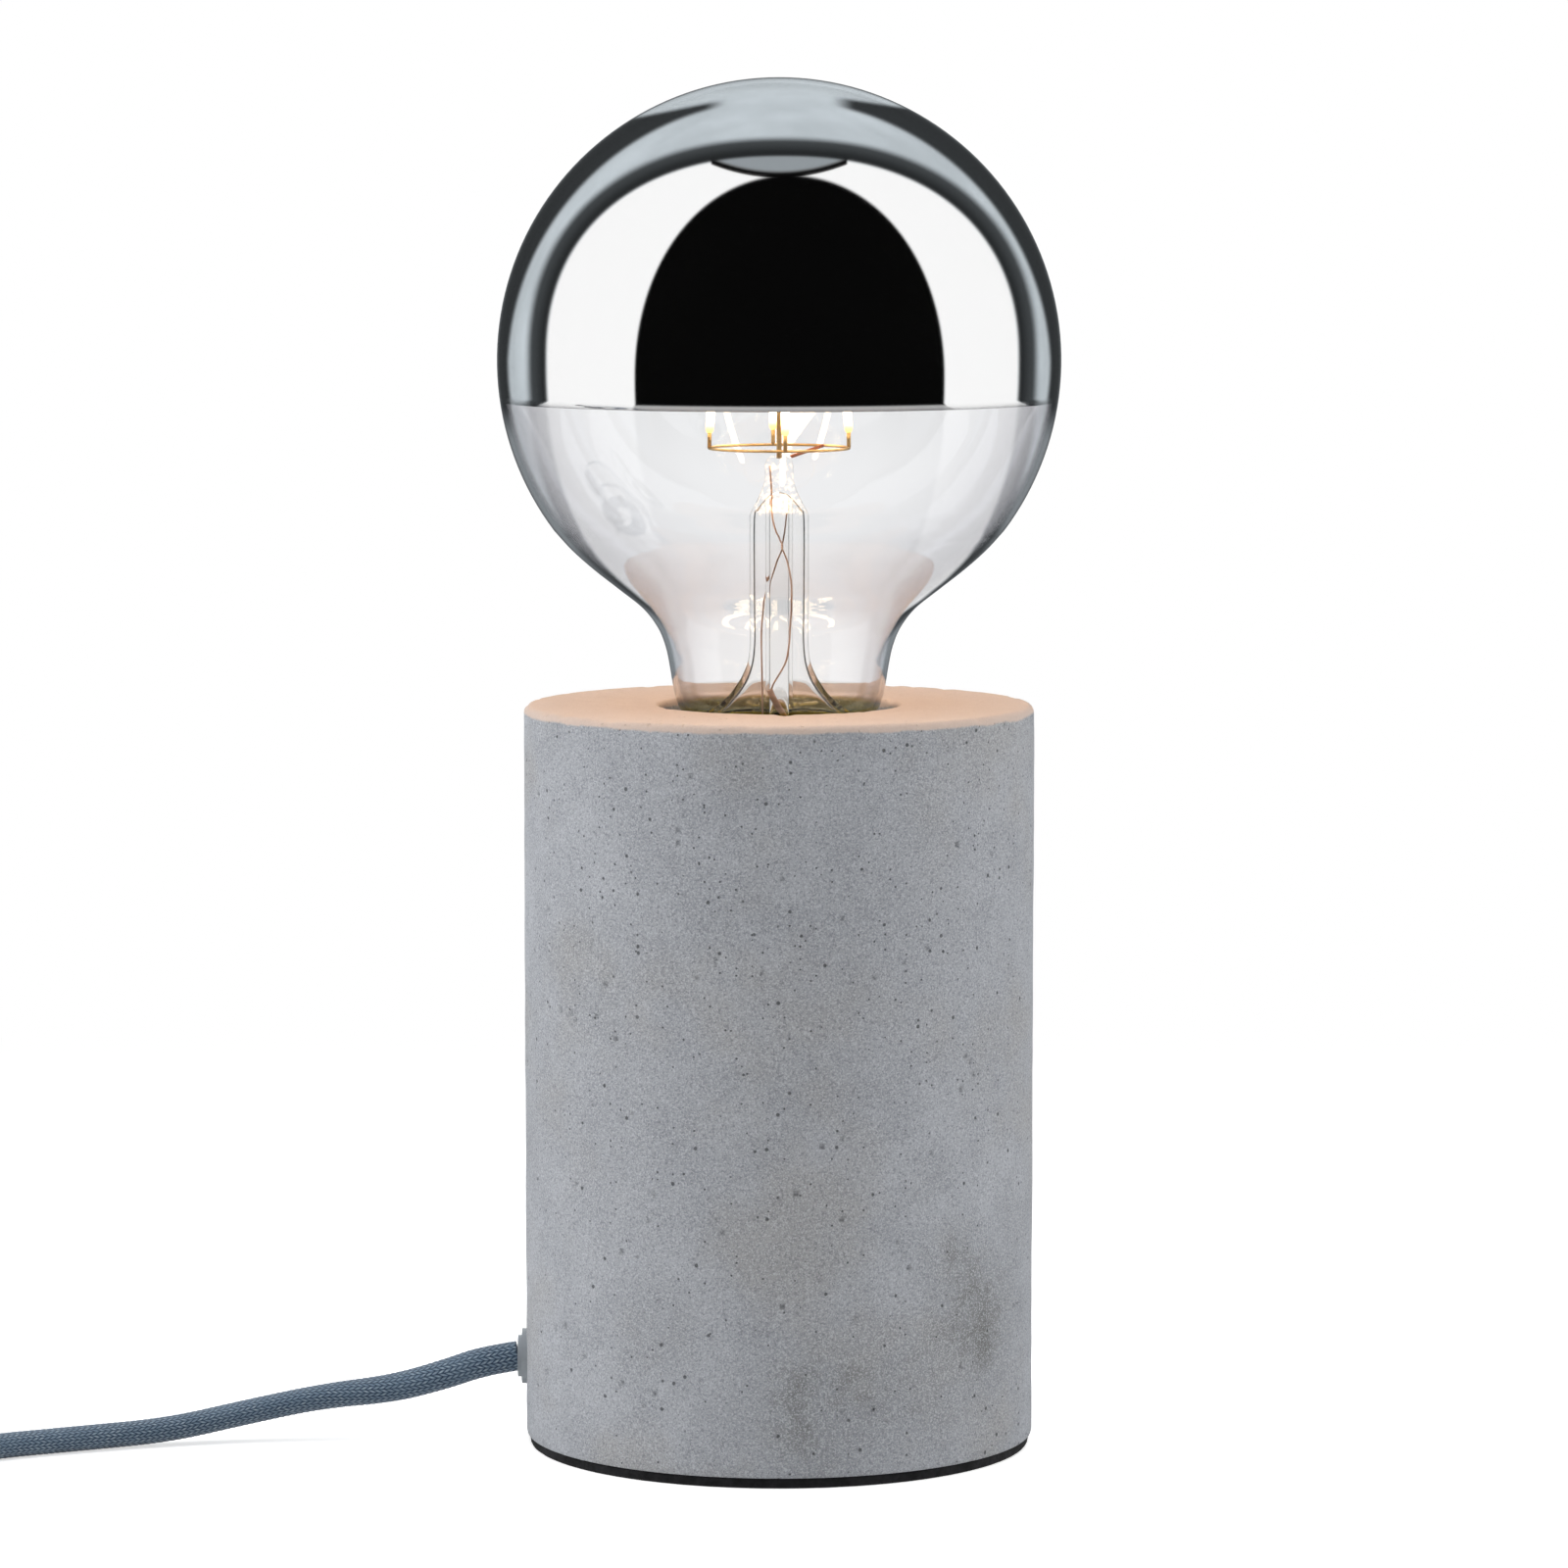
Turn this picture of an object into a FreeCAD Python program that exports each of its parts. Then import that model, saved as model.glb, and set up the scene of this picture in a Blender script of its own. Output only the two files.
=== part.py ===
import FreeCAD, Part
import math
import os
from FreeCAD import Vector

# Bare bulb table lamp: a cast concrete cylinder with a recessed E27 holder, a large
# globe filament bulb with a mirrored crown, and a textile cord with a switch and plug.
# Millimetres, +Z up, origin at the centre of the underside, the cord leaves towards -X.

# ---- base -------------------------------------------------------------------------
base_radius = 43.3
base_height = 124.5
base_top_round = 1.5
base_foot_round = 0.9
pad_thickness = 1.8
pad_inset = 0.7
pad_edge_round = 0.4
well_radius = 20.3
well_depth = 57.3
well_mouth_round = 0.8
shelf_thickness = 9.0
wiring_room_radius = 26.0

# ---- bottom plate and its fasteners -------------------------------------------------
plate_radius = 34.0
plate_thickness = 1.5
plate_screw_count = 3
plate_screw_circle = 30.2
screw_radius = 1.5
screw_head_radius = 2.9
plate_screw_length = 9.0
insert_radius = 2.6
insert_length = 7.0

# ---- bulb ---------------------------------------------------------------------------
globe_radius = 47.5
bulb_length = 135.0
bulb_seat_depth = 29.6
glass_wall = 0.9
mirror_drop = 6.7
mirror_coat = 0.15
neck_radius = 18.3
neck_end_radius = 16.9
cap_length = 26.2
cap_radius = 13.15
cap_rim_radius = 13.95
cap_wall = 0.35
cap_skirt = 2.6
seal_depth = 2.1
lip_rise = 0.4
lip_curl = 2.4
flare_height = 15.0
contact_tip_radius = 4.8
stem_radius = 5.0
stem_wall = 0.9
stem_top_radius = 2.35
exhaust_radius = 2.3
exhaust_bore = 1.6

# ---- light source inside the bulb -----------------------------------------------------
filament_count = 4
filament_length = 37.0
filament_radius = 0.9
filament_first_angle = 5.0
ring_radius = 11.8
ring_wire_radius = 0.4
ring_below_mirror = 8.0
top_ring_radius = 9.0
tab_length = 2.6
lead_wire_radius = 0.3
board_width = 15.0
board_height = 13.0
board_thickness = 1.2
board_lift = 1.2

# ---- lamp holder ----------------------------------------------------------------------
holder_radius = 19.4
holder_wall = 2.4
holder_lip_bore = 14.6
holder_below_top = 3.8
thread_clearance = 0.4
shell_wall = 0.4
shell_height = 20.0
holder_skirt_height = 36.5
holder_joint_height = 7.0
block_height = 9.5
block_seat_step = 5.0
leaf_width = 7.0
leaf_thickness = 0.5
terminal_size = 6.0
terminal_spread = 9.0
nipple_radius = 5.0
nipple_bore = 3.6
nipple_length = 22.5
nut_flats = 14.0
nut_height = 3.0
washer_radius = 13.0
washer_thickness = 1.5

# ---- cord -----------------------------------------------------------------------------
cord_radius = 2.6
core_radius = 1.0
exit_height = 14.4
bush_flange_radius = 4.7
bush_flange_thickness = 1.0
bush_collar_length = 0.7
bush_wall = 0.95
grip_length = 10.0
grip_width = 18.0
grip_saddle_height = 4.0

# ---- switch on the cord ---------------------------------------------------------------
switch_length = 54.0
switch_width = 25.0
switch_height = 17.0
switch_wall = 1.8
switch_split = 7.5
switch_nose_length = 10.0
switch_nose_width = 13.0
rocker_length = 20.0
rocker_width = 11.0
rocker_tilt = 8.0
rocker_pin_radius = 1.25

# ---- plug -----------------------------------------------------------------------------
plug_width = 35.3
plug_thickness = 13.7
plug_depth = 34.0
plug_relief_length = 20.0
plug_relief_root = 5.2
plug_pin_radius = 2.0
plug_pin_length = 19.0
plug_pin_spacing = 18.6
plug_sleeve_length = 10.0

# ---- clearances -----------------------------------------------------------------------
thread_gap = 0.05
slip_gap = 0.1
loose_gap = 0.3
swing_gap = 1.0
coil_gap = 0.55

# ---- levels worked out from the sizes above ---------------------------------------------
foot_z = pad_thickness
base_top = foot_z + base_height
shelf_top = base_top - well_depth
shelf_bottom = shelf_top - shelf_thickness
plate_top = foot_z + plate_thickness
tip_z = base_top - bulb_seat_depth
globe_z = tip_z + bulb_length - globe_radius
mirror_z = globe_z - mirror_drop
cap_rim_z = tip_z + cap_length
holder_top = base_top - holder_below_top
skirt_z = holder_top - holder_skirt_height
pieces = {}


def keep(name, shape):
    """Stores one finished sub-part, a single solid or a group of separate ones."""
    pieces[name] = shape


def polar(radius, degrees, z=0.0):
    turn = math.radians(degrees)
    return Vector(radius * math.cos(turn), radius * math.sin(turn), z)


def outline(start, *steps):
    """A closed (radius, height) outline. A step is a corner, or (middle, end) of an arc."""
    here = Vector(start[0], 0, start[1])
    first = here
    edges = []
    for step in steps:
        if isinstance(step[0], tuple):
            middle, end = (Vector(p[0], 0, p[1]) for p in step)
            edges.append(Part.Arc(here, middle, end).toShape())
        else:
            end = Vector(step[0], 0, step[1])
            edges.append(Part.LineSegment(here, end).toShape())
        here = end
    if here.distanceToPoint(first) > 1e-7:
        edges.append(Part.LineSegment(here, first).toShape())
    return Part.Wire(edges)


def spin(wire):
    """A solid of revolution about the lamp's axis."""
    return Part.Face(wire).revolve(Vector(0, 0, 0), Vector(0, 0, 1), 360)


def ring(inner, outer, low, high):
    body = Part.makeCylinder(outer, high - low, Vector(0, 0, low))
    if inner <= 0:
        return body
    return body.cut(Part.makeCylinder(inner, high - low + 2, Vector(0, 0, low - 1)))


def rod(radius, start, end):
    along = end - start
    return Part.makeCylinder(radius, along.Length, start, along)


def block(size_x, size_y, low, high, x=0.0, y=0.0):
    """An upright box centred on x, y."""
    corner = Vector(x - size_x / 2, y - size_y / 2, low)
    return Part.makeBox(size_x, size_y, high - low, corner)


def prism(points, low, high):
    """A closed plan outline of corners, raised from low to high."""
    corners = [Vector(x, y, low) for x, y in points]
    face = Part.Face(Part.makePolygon(corners + corners[:1]))
    return face.extrude(Vector(0, 0, high - low))


def corner_arc(before, corner, after, reach):
    """The arc that touches both runs at the given reach from their corner."""
    back = (before - corner).normalize()
    on = (after - corner).normalize()
    half = (math.pi - back.getAngle(on)) / 2
    radius = reach / math.tan(half)
    bisector = (back + on).normalize()
    middle = corner + bisector * (radius / math.cos(half) - radius)
    return Part.Arc(corner + back * reach, middle, corner + on * reach).toShape(), radius


def smooth_path(points):
    """Straight runs joined by the largest tangent arcs that the runs have room for."""
    edges = []
    radii = []
    here = points[0]
    for before, corner, after in zip(points, points[1:], points[2:]):
        reach = 0.45 * min((corner - before).Length, (after - corner).Length)
        arc, radius = corner_arc(before, corner, after, reach)
        start, end = (arc.valueAt(k) for k in (arc.FirstParameter, arc.LastParameter))
        edges += [Part.LineSegment(here, start).toShape(), arc]
        radii.append(radius)
        here = end
    edges.append(Part.LineSegment(here, points[-1]).toShape())
    return Part.Wire(edges), radii


def tube_on(wire, radius):
    """A round tube along a wire, its section square to the wire's start."""
    edge = wire.Edges[0]
    start = edge.valueAt(edge.FirstParameter)
    along = edge.tangentAt(edge.FirstParameter)
    section = Part.Wire(Part.Circle(start, along, radius).toShape())
    return wire.makePipeShell([section], True, False)


def tube(points, radius):
    return tube_on(smooth_path(points)[0], radius)


def cord_tube(name, points):
    """A free stretch of cord, with its bends and its volume written out."""
    wire, radii = smooth_path(points)
    solid = tube_on(wire, cord_radius)
    expected = math.pi * cord_radius**2 * wire.Length
    print(
        name,
        "length %.1f" % wire.Length,
        "tightest bend %.1f" % min(radii),
        "volume / expected %.4f" % (solid.Volume / expected),
    )
    keep(name, solid)
    return wire.Length


# ---- concrete base ----------------------------------------------------------------------


def concrete_body():
    top, foot = base_top_round, base_foot_round
    lean = 1 - math.sqrt(0.5)
    mouth = well_mouth_round
    outer = base_radius
    recess = plate_radius + loose_gap
    shape = spin(
        outline(
            (well_radius, shelf_top),
            (well_radius, base_top - mouth),
            (
                (well_radius + lean * mouth, base_top - lean * mouth),
                (well_radius + mouth, base_top),
            ),
            (outer - top, base_top),
            ((outer - lean * top, base_top - lean * top), (outer, base_top - top)),
            (outer, foot_z + foot),
            ((outer - lean * foot, foot_z + lean * foot), (outer - foot, foot_z)),
            (recess, foot_z),
            (recess, plate_top),
            (wiring_room_radius, plate_top),
            (wiring_room_radius, shelf_bottom),
            (nipple_radius + loose_gap, shelf_bottom),
            (nipple_radius + loose_gap, shelf_top),
        )
    )
    tunnel = rod(
        bush_tube_radius + slip_gap,
        Vector(-base_radius - 5, 0, exit_height),
        Vector(0, 0, exit_height),
    )
    spot = rod(
        bush_flange_radius + loose_gap,
        Vector(-base_radius - 5, 0, exit_height),
        Vector(bush_seat_x, 0, exit_height),
    )
    shape = shape.cut(tunnel.fuse(spot))
    for place in plate_screw_places():
        hole = rod(insert_radius, place, place + Vector(0, 0, insert_length + 3))
        shape = shape.cut(hole)
    return shape


def plate_screw_places():
    step = 360 / plate_screw_count
    return [polar(plate_screw_circle, 90 + k * step, plate_top) for k in range(plate_screw_count)]


def base_pad():
    edge = pad_edge_round
    radius = base_radius - pad_inset
    return spin(
        outline((0, 0), (radius - edge, 0), (radius, edge), (radius, foot_z), (0, foot_z))
    )


def countersunk(place, direction, length):
    """A countersunk screw whose flat head ends at the given place."""
    head_height = plate_thickness
    head = Part.makeCone(screw_head_radius, screw_radius, head_height, place, direction)
    return head.fuse(Part.makeCylinder(screw_radius, length, place, direction))


def bottom_plate():
    plate = ring(0, plate_radius, foot_z, plate_top)
    for place in plate_screw_places():
        under = Vector(place.x, place.y, foot_z)
        hole = Part.makeCone(
            screw_head_radius + slip_gap,
            screw_radius + slip_gap,
            plate_thickness,
            under,
            Vector(0, 0, 1),
        )
        plate = plate.cut(hole)
    for side in (-1, 1):
        hole = rod(screw_radius + slip_gap, grip_hole(side, foot_z), grip_hole(side, plate_top))
        plate = plate.cut(hole)
    return plate


def plate_fasteners():
    screws = []
    inserts = []
    for place in plate_screw_places():
        under = Vector(place.x, place.y, foot_z)
        screws.append(countersunk(under, Vector(0, 0, 1), plate_screw_length))
        sleeve = rod(insert_radius - thread_gap, place, place + Vector(0, 0, insert_length))
        bore = rod(screw_radius + thread_gap, place, place + Vector(0, 0, insert_length))
        inserts.append(sleeve.cut(bore))
    keep("bottom_plate_screws", Part.makeCompound(screws))
    keep("bottom_plate_inserts", Part.makeCompound(inserts))


# ---- lamp holder ----------------------------------------------------------------------------

block_radius = holder_radius - holder_wall - slip_gap
shell_inner = cap_radius + thread_clearance
shell_outer = shell_inner + shell_wall
leaf_top = tip_z
leaf_foot = tip_z - 1.2
block_low = skirt_z
block_top = leaf_foot - leaf_thickness
joint_radius = holder_radius - holder_wall + 0.6


def socket_outer_shell():
    inner = holder_radius - holder_wall
    lip = 2.0
    shoulder = holder_joint_height
    return spin(
        outline(
            (holder_lip_bore, holder_top - lip),
            (holder_lip_bore, holder_top - 0.6),
            (holder_lip_bore + 0.6, holder_top),
            (holder_radius - 1.2, holder_top),
            ((holder_radius - 0.35, holder_top - 0.35), (holder_radius, holder_top - 1.2)),
            (holder_radius, skirt_z),
            (joint_radius, skirt_z),
            (joint_radius, skirt_z - shoulder),
            (joint_radius - 2.0, skirt_z - shoulder),
            (joint_radius - 2.0, skirt_z),
            (inner, skirt_z),
            (inner, holder_top - lip),
        )
    )


def socket_base_cap():
    floor = 3.0
    round_edge = 2.5
    lean = 1 - math.sqrt(0.5)
    inner = joint_radius + slip_gap
    boss = nipple_radius + 3.0
    boss_top = shelf_top + 5.0
    return spin(
        outline(
            (nipple_radius + thread_gap, shelf_top),
            (holder_radius - round_edge, shelf_top),
            (
                (holder_radius - lean * round_edge, shelf_top + lean * round_edge),
                (holder_radius, shelf_top + round_edge),
            ),
            (holder_radius, skirt_z),
            (inner, skirt_z),
            (inner, shelf_top + floor + 2),
            ((inner - 0.6, shelf_top + floor + 0.6), (inner - 2, shelf_top + floor)),
            (boss, shelf_top + floor),
            (boss, boss_top),
            (nipple_radius + thread_gap, boss_top),
        )
    )


def terminal_places():
    return [Vector(side * terminal_spread, 0, block_low) for side in (-1, 1)]


def socket_insulator_block():
    seat = block_top + block_seat_step
    body = spin(
        outline(
            (0, block_low),
            (block_radius, block_low),
            (block_radius, seat),
            (shell_inner - 1.2, seat),
            (shell_inner - 1.2, block_top),
            (0, block_top),
        )
    )
    for x in (-terminal_spread, terminal_spread):
        slot = block(2.4, 2.4, block_low - 1, block_top + 1, x=x)
        body = body.cut(slot)
    return body


def socket_thread_shell():
    low = block_top + block_seat_step
    return spin(
        outline(
            (shell_inner, low + shell_wall),
            (shell_inner, low + shell_height - 0.8),
            (shell_inner + 0.5, low + shell_height),
            (shell_outer + 0.5, low + shell_height),
            (shell_outer, low + shell_height - 0.8),
            (shell_outer, low),
            (shell_inner - 1.0, low),
            (shell_inner - 1.0, low + shell_wall),
        )
    )


def strip(points, width, thickness):
    """A bent metal strip in the XZ plane, centred on y = 0, drawn along its upper face."""
    upper = [Vector(x, -width / 2, z) for x, z in points]
    lower = [p - Vector(0, 0, thickness) for p in reversed(upper)]
    face = Part.Face(Part.makePolygon(upper + lower + upper[:1]))
    return face.extrude(Vector(0, width, 0))


def socket_centre_contact():
    reach = terminal_spread + 0.8
    leaf = strip(
        [
            (-reach, leaf_foot),
            (-contact_tip_radius - 1, leaf_foot),
            (-2.0, leaf_top),
            (2.0, leaf_top),
            (contact_tip_radius, leaf_top - 0.5),
        ],
        leaf_width,
        leaf_thickness,
    )
    leg = block(1.2, 2.0, block_low, leaf_foot - leaf_thickness / 2, x=-terminal_spread)
    return leaf.fuse(leg).removeSplitter()


def socket_side_contact():
    seat = block_top + block_seat_step
    leg = block(1.2, 2.0, block_low, block_top + leaf_thickness, x=terminal_spread)
    half_lug = 2.0
    inner = math.sqrt((shell_inner - 1.2 - slip_gap) ** 2 - half_lug**2)
    foot = block(
        inner - terminal_spread + 0.6,
        4.0,
        block_top,
        block_top + leaf_thickness,
        x=(inner + terminal_spread - 0.6) / 2,
    )
    upright = block(leaf_thickness, 4.0, block_top, seat + shell_wall, x=inner - leaf_thickness / 2)
    lug_reach = 1.2 + slip_gap
    lug = block(
        lug_reach,
        4.0,
        seat + shell_wall,
        seat + shell_wall + leaf_thickness,
        x=inner + lug_reach / 2 - leaf_thickness,
    )
    return leg.fuse([foot, upright, lug]).removeSplitter()


def socket_terminals():
    """Two brass clamps under the insulator, each with a wire hole from below."""
    clamps = []
    for place in terminal_places():
        low = place.z - terminal_size
        body = block(terminal_size, terminal_size, low, place.z, x=place.x)
        wire_hole = rod(core_radius + slip_gap, Vector(place.x, 0, low), Vector(place.x, 0, place.z))
        side = Vector(0, 1, 0)
        screw_hole = rod(
            screw_radius + thread_gap,
            Vector(place.x, 0, low + terminal_size / 2),
            Vector(place.x, 0, low + terminal_size / 2) + side * terminal_size,
        )
        clamps.append(body.cut(wire_hole.fuse(screw_hole)))
    return Part.makeCompound(clamps)


def socket_terminal_screws():
    screws = []
    for place in terminal_places():
        middle = Vector(place.x, 0, place.z - terminal_size / 2)
        tip = middle + Vector(0, core_radius + slip_gap, 0)
        seat = middle + Vector(0, terminal_size / 2, 0)
        shank = rod(screw_radius, tip, seat + Vector(0, 0.5, 0))
        head = rod(screw_radius + 1.1, seat, seat + Vector(0, 1.8, 0))
        screws.append(shank.fuse(head))
    return Part.makeCompound(screws)


def nipple_parts():
    low = shelf_bottom - washer_thickness - nut_height - 3.5
    high = low + nipple_length
    keep("threaded_nipple", ring(nipple_bore, nipple_radius, low, high))
    washer_low = shelf_bottom - washer_thickness
    keep("shelf_washer", ring(nipple_radius + loose_gap, washer_radius, washer_low, shelf_bottom))
    corner = nut_flats / 2 / math.cos(math.radians(30))
    hexagon = [(p.x, p.y) for p in (polar(corner, 60 * k) for k in range(6))]
    nut = prism(hexagon, washer_low - nut_height, washer_low)
    chamfer = Part.makeCone(corner - 1.0, corner + nut_height, nut_height + 1.0)
    chamfer.translate(Vector(0, 0, washer_low - nut_height))
    nut = nut.common(chamfer)
    bore = ring(0, nipple_radius + thread_gap, washer_low - nut_height - 1, washer_low + 1)
    keep("lock_nut", nut.cut(bore))
    return low


# ---- bulb -------------------------------------------------------------------------------------

seal_z = cap_rim_z - seal_depth
lip_z = cap_rim_z + lip_rise
neck_end_z = lip_z + lip_curl


def glass_side(inset):
    """The wall of the glass from crown to seal, drawn the given distance inside its face."""
    radius = globe_radius - inset
    leave = math.radians(36.9)
    crown = Vector(0, 0, globe_z + radius)
    belly = Vector(radius, 0, globe_z)
    shoulder = Vector(radius * math.cos(leave), 0, globe_z - radius * math.sin(leave))
    sphere = Part.Arc(crown, polar_xz(radius, 45, globe_z), belly).toShape()
    lower = Part.Arc(belly, polar_xz(radius, -20, globe_z), shoulder).toShape()
    across = globe_radius * math.cos(leave) - neck_radius
    start_z = globe_z - globe_radius * math.sin(leave)
    # share of the way in to the neck, share of the way down to its end, and the wall's normal
    fall = [
        (0.660, 0.220, 0.78, 0.62),
        (0.335, 0.386, 0.60, 0.80),
        (0.157, 0.500, 0.72, 0.69),
        (0.046, 0.656, 0.94, 0.34),
        (0.000, 0.817, 0.99, 0.14),
    ]
    points = [shoulder]
    for inwards, down, nr, nz in fall:
        r = neck_radius + inwards * across
        z = start_z - down * (start_z - neck_end_z)
        points.append(Vector(r - inset * nr, 0, z + inset * nz))
    points.append(Vector(neck_end_radius - inset * 0.93, 0, neck_end_z - inset * 0.36))
    curve = Part.BSplineCurve()
    curve.interpolate(Points=points)
    return [sphere, lower, curve.toShape()], points[-1]


def polar_xz(radius, degrees, z):
    turn = math.radians(degrees)
    return Vector(radius * math.cos(turn), 0, z + radius * math.sin(turn))


def bulb_glass():
    outer, outer_end = glass_side(0)
    inner, inner_end = glass_side(glass_wall)
    lip = Vector(seal_radius, 0, lip_z)
    foot = Vector(seal_radius, 0, seal_z)
    foot_in = Vector(seal_radius - glass_wall, 0, seal_z)
    lip_in = Vector(seal_radius - glass_wall, 0, lip_z + glass_wall)
    turn = Vector(neck_end_radius - 1.0, 0, lip_z + 0.31 * lip_curl)
    turn_in = Vector(neck_end_radius - 1.0 - glass_wall, 0, lip_z + 0.27 * lip_curl + glass_wall)
    edges = outer + [
        Part.Arc(outer_end, turn, lip).toShape(),
        Part.LineSegment(lip, foot).toShape(),
        Part.LineSegment(foot, foot_in).toShape(),
        Part.LineSegment(foot_in, lip_in).toShape(),
        Part.Arc(lip_in, turn_in, inner_end).toShape(),
    ]
    crown, crown_in = (
        Vector(0, 0, globe_z + globe_radius),
        Vector(0, 0, globe_z + globe_radius - glass_wall),
    )
    edges += inner + [Part.LineSegment(crown, crown_in).toShape()]
    wire = Part.Wire(Part.__sortEdges__(edges))
    return spin(wire)


def mirror_coating():
    outer = globe_radius - glass_wall
    inner = outer - mirror_coat
    drop_out = math.degrees(math.asin(mirror_drop / outer))
    drop_in = math.degrees(math.asin(mirror_drop / inner))
    low_out, low_in = polar_xz(outer, -drop_out, globe_z), polar_xz(inner, -drop_in, globe_z)
    crown_out, crown_in = (Vector(0, 0, globe_z + r) for r in (outer, inner))
    edges = [
        Part.Arc(crown_out, polar_xz(outer, 40, globe_z), low_out).toShape(),
        Part.LineSegment(low_out, low_in).toShape(),
        Part.Arc(low_in, polar_xz(inner, 40, globe_z), crown_in).toShape(),
        Part.LineSegment(crown_in, crown_out).toShape(),
    ]
    return spin(Part.Wire(edges))


seal_radius = cap_rim_radius - cap_wall - 0.6
cap_low = tip_z + 8.0
insulator_radius = 10.4


def bulb_cap_shell():
    rim = cap_rim_z
    wall = cap_wall
    return spin(
        outline(
            (cap_rim_radius, rim),
            (cap_rim_radius - 0.1, rim - cap_skirt),
            (cap_radius, rim - cap_skirt - 1.0),
            (cap_radius, cap_low + 1.5),
            ((cap_radius - 0.5, cap_low + 0.4), (cap_radius - 1.6, cap_low)),
            (insulator_radius, cap_low - 3.2),
            (insulator_radius - wall, cap_low - 3.2 + wall),
            (cap_radius - 1.6 - wall, cap_low + wall),
            (cap_radius - wall, cap_low + 1.7),
            (cap_radius - wall, rim - cap_skirt - 1.1),
            (cap_rim_radius - 0.1 - wall, rim - cap_skirt - 0.1),
            (cap_rim_radius - wall, rim),
        )
    )


def cap_cement():
    """The ring of cement between the cap's skirt and the end of the glass."""
    outer = cap_rim_radius - 0.1 - cap_wall
    return ring(seal_radius, outer, seal_z, cap_rim_z - 0.3)


def cap_insulator():
    top = cap_low - 3.2
    return spin(
        outline(
            (contact_tip_radius - 1.5, top + 1.0),
            (insulator_radius - cap_wall, top + 1.0),
            (insulator_radius - cap_wall, top + cap_wall),
            (insulator_radius, top),
            ((insulator_radius - 2.0, top - 1.7), (contact_tip_radius, tip_z + 1.6)),
            (contact_tip_radius - 1.5, tip_z + 1.6),
        )
    )


def cap_contact_tip():
    """The solder disc, with the rivet that holds it in the insulator."""
    return spin(
        outline(
            (0, tip_z),
            (contact_tip_radius - 1.0, tip_z),
            ((contact_tip_radius - 0.25, tip_z + 0.4), (contact_tip_radius, tip_z + 1.6)),
            (contact_tip_radius - 1.5, tip_z + 1.6),
            (contact_tip_radius - 1.5, cap_low - 2.0),
            (0, cap_low - 2.0),
        )
    )


ring_z = mirror_z - ring_below_mirror
stem_shoulder_z = ring_z - 11.0
stem_throat_z = ring_z - 5.5
stem_tip_z = ring_z - 1.2
flare_z = seal_z + flare_height


def bulb_stem():
    """The glass stem: a flare sealed to the neck, a tube and a narrow top."""
    foot = lip_z + glass_wall
    wall = stem_wall
    edge = seal_radius - glass_wall
    flat_tip = stem_top_radius / 2
    return spin(
        outline(
            (edge, foot - 1.2),
            (edge, foot),
            ((stem_radius + 2.1, foot + flare_height * 0.37), (stem_radius, flare_z)),
            (stem_radius, stem_shoulder_z),
            ((stem_radius - 0.8, stem_shoulder_z + 2.0), (stem_top_radius, stem_throat_z)),
            (stem_top_radius, stem_tip_z - 1.0),
            ((stem_top_radius - 0.3, stem_tip_z - 0.3), (flat_tip, stem_tip_z)),
            (0, stem_tip_z),
            (0, stem_throat_z - 2.0),
            (flat_tip, stem_throat_z - 2.0),
            ((stem_radius - wall - 1.0, stem_shoulder_z + 1.2), (stem_radius - wall, stem_shoulder_z - 0.5)),
            (stem_radius - wall, flare_z),
            ((stem_radius + 1.2, foot + flare_height * 0.3), (edge - wall, foot - 1.2)),
        )
    )


def exhaust_tube():
    low = cap_low + board_height + board_lift * 2.5
    tube_body = ring(exhaust_bore, exhaust_radius, low, stem_throat_z - 1.0)
    return tube_body.cut(pieces["bulb_stem"])


def filament_places(radius, z):
    step = 360 / filament_count
    return [polar(radius, filament_first_angle + k * step, z) for k in range(filament_count)]


def light_source():
    low_z = ring_z + tab_length
    high_z = low_z + filament_length
    lower = filament_places(ring_radius, low_z)
    upper = filament_places(top_ring_radius, high_z)
    rods = [rod(filament_radius, a, b) for a, b in zip(lower, upper)]
    keep("led_filaments", Part.makeCompound(rods))
    tabs = []
    for a, b in zip(filament_places(ring_radius, ring_z), lower):
        tabs.append(rod(0.5, a + Vector(0, 0, ring_wire_radius * 0.5), b))
    top_z = high_z + tab_length
    for a, b in zip(upper, filament_places(top_ring_radius, top_z)):
        tabs.append(rod(0.5, a, b - Vector(0, 0, ring_wire_radius * 0.5)))
    low_ring = Part.makeTorus(ring_radius, ring_wire_radius, Vector(0, 0, ring_z))
    top_ring = Part.makeTorus(top_ring_radius, ring_wire_radius, Vector(0, 0, top_z))
    keep("filament_ring_lower", low_ring.fuse(tabs[:filament_count]).cut(rods))
    spokes = [
        rod(ring_wire_radius, Vector(0, 0, top_z), polar(top_ring_radius, angle, top_z))
        for angle in (filament_first_angle + 45, filament_first_angle + 225)
    ]
    mast = rod(ring_wire_radius * 1.5, Vector(0, 0, stem_tip_z), Vector(0, 0, top_z))
    upper_frame = top_ring.fuse(tabs[filament_count:] + spokes + [mast])
    keep("filament_ring_upper", upper_frame.cut(rods))


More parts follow.
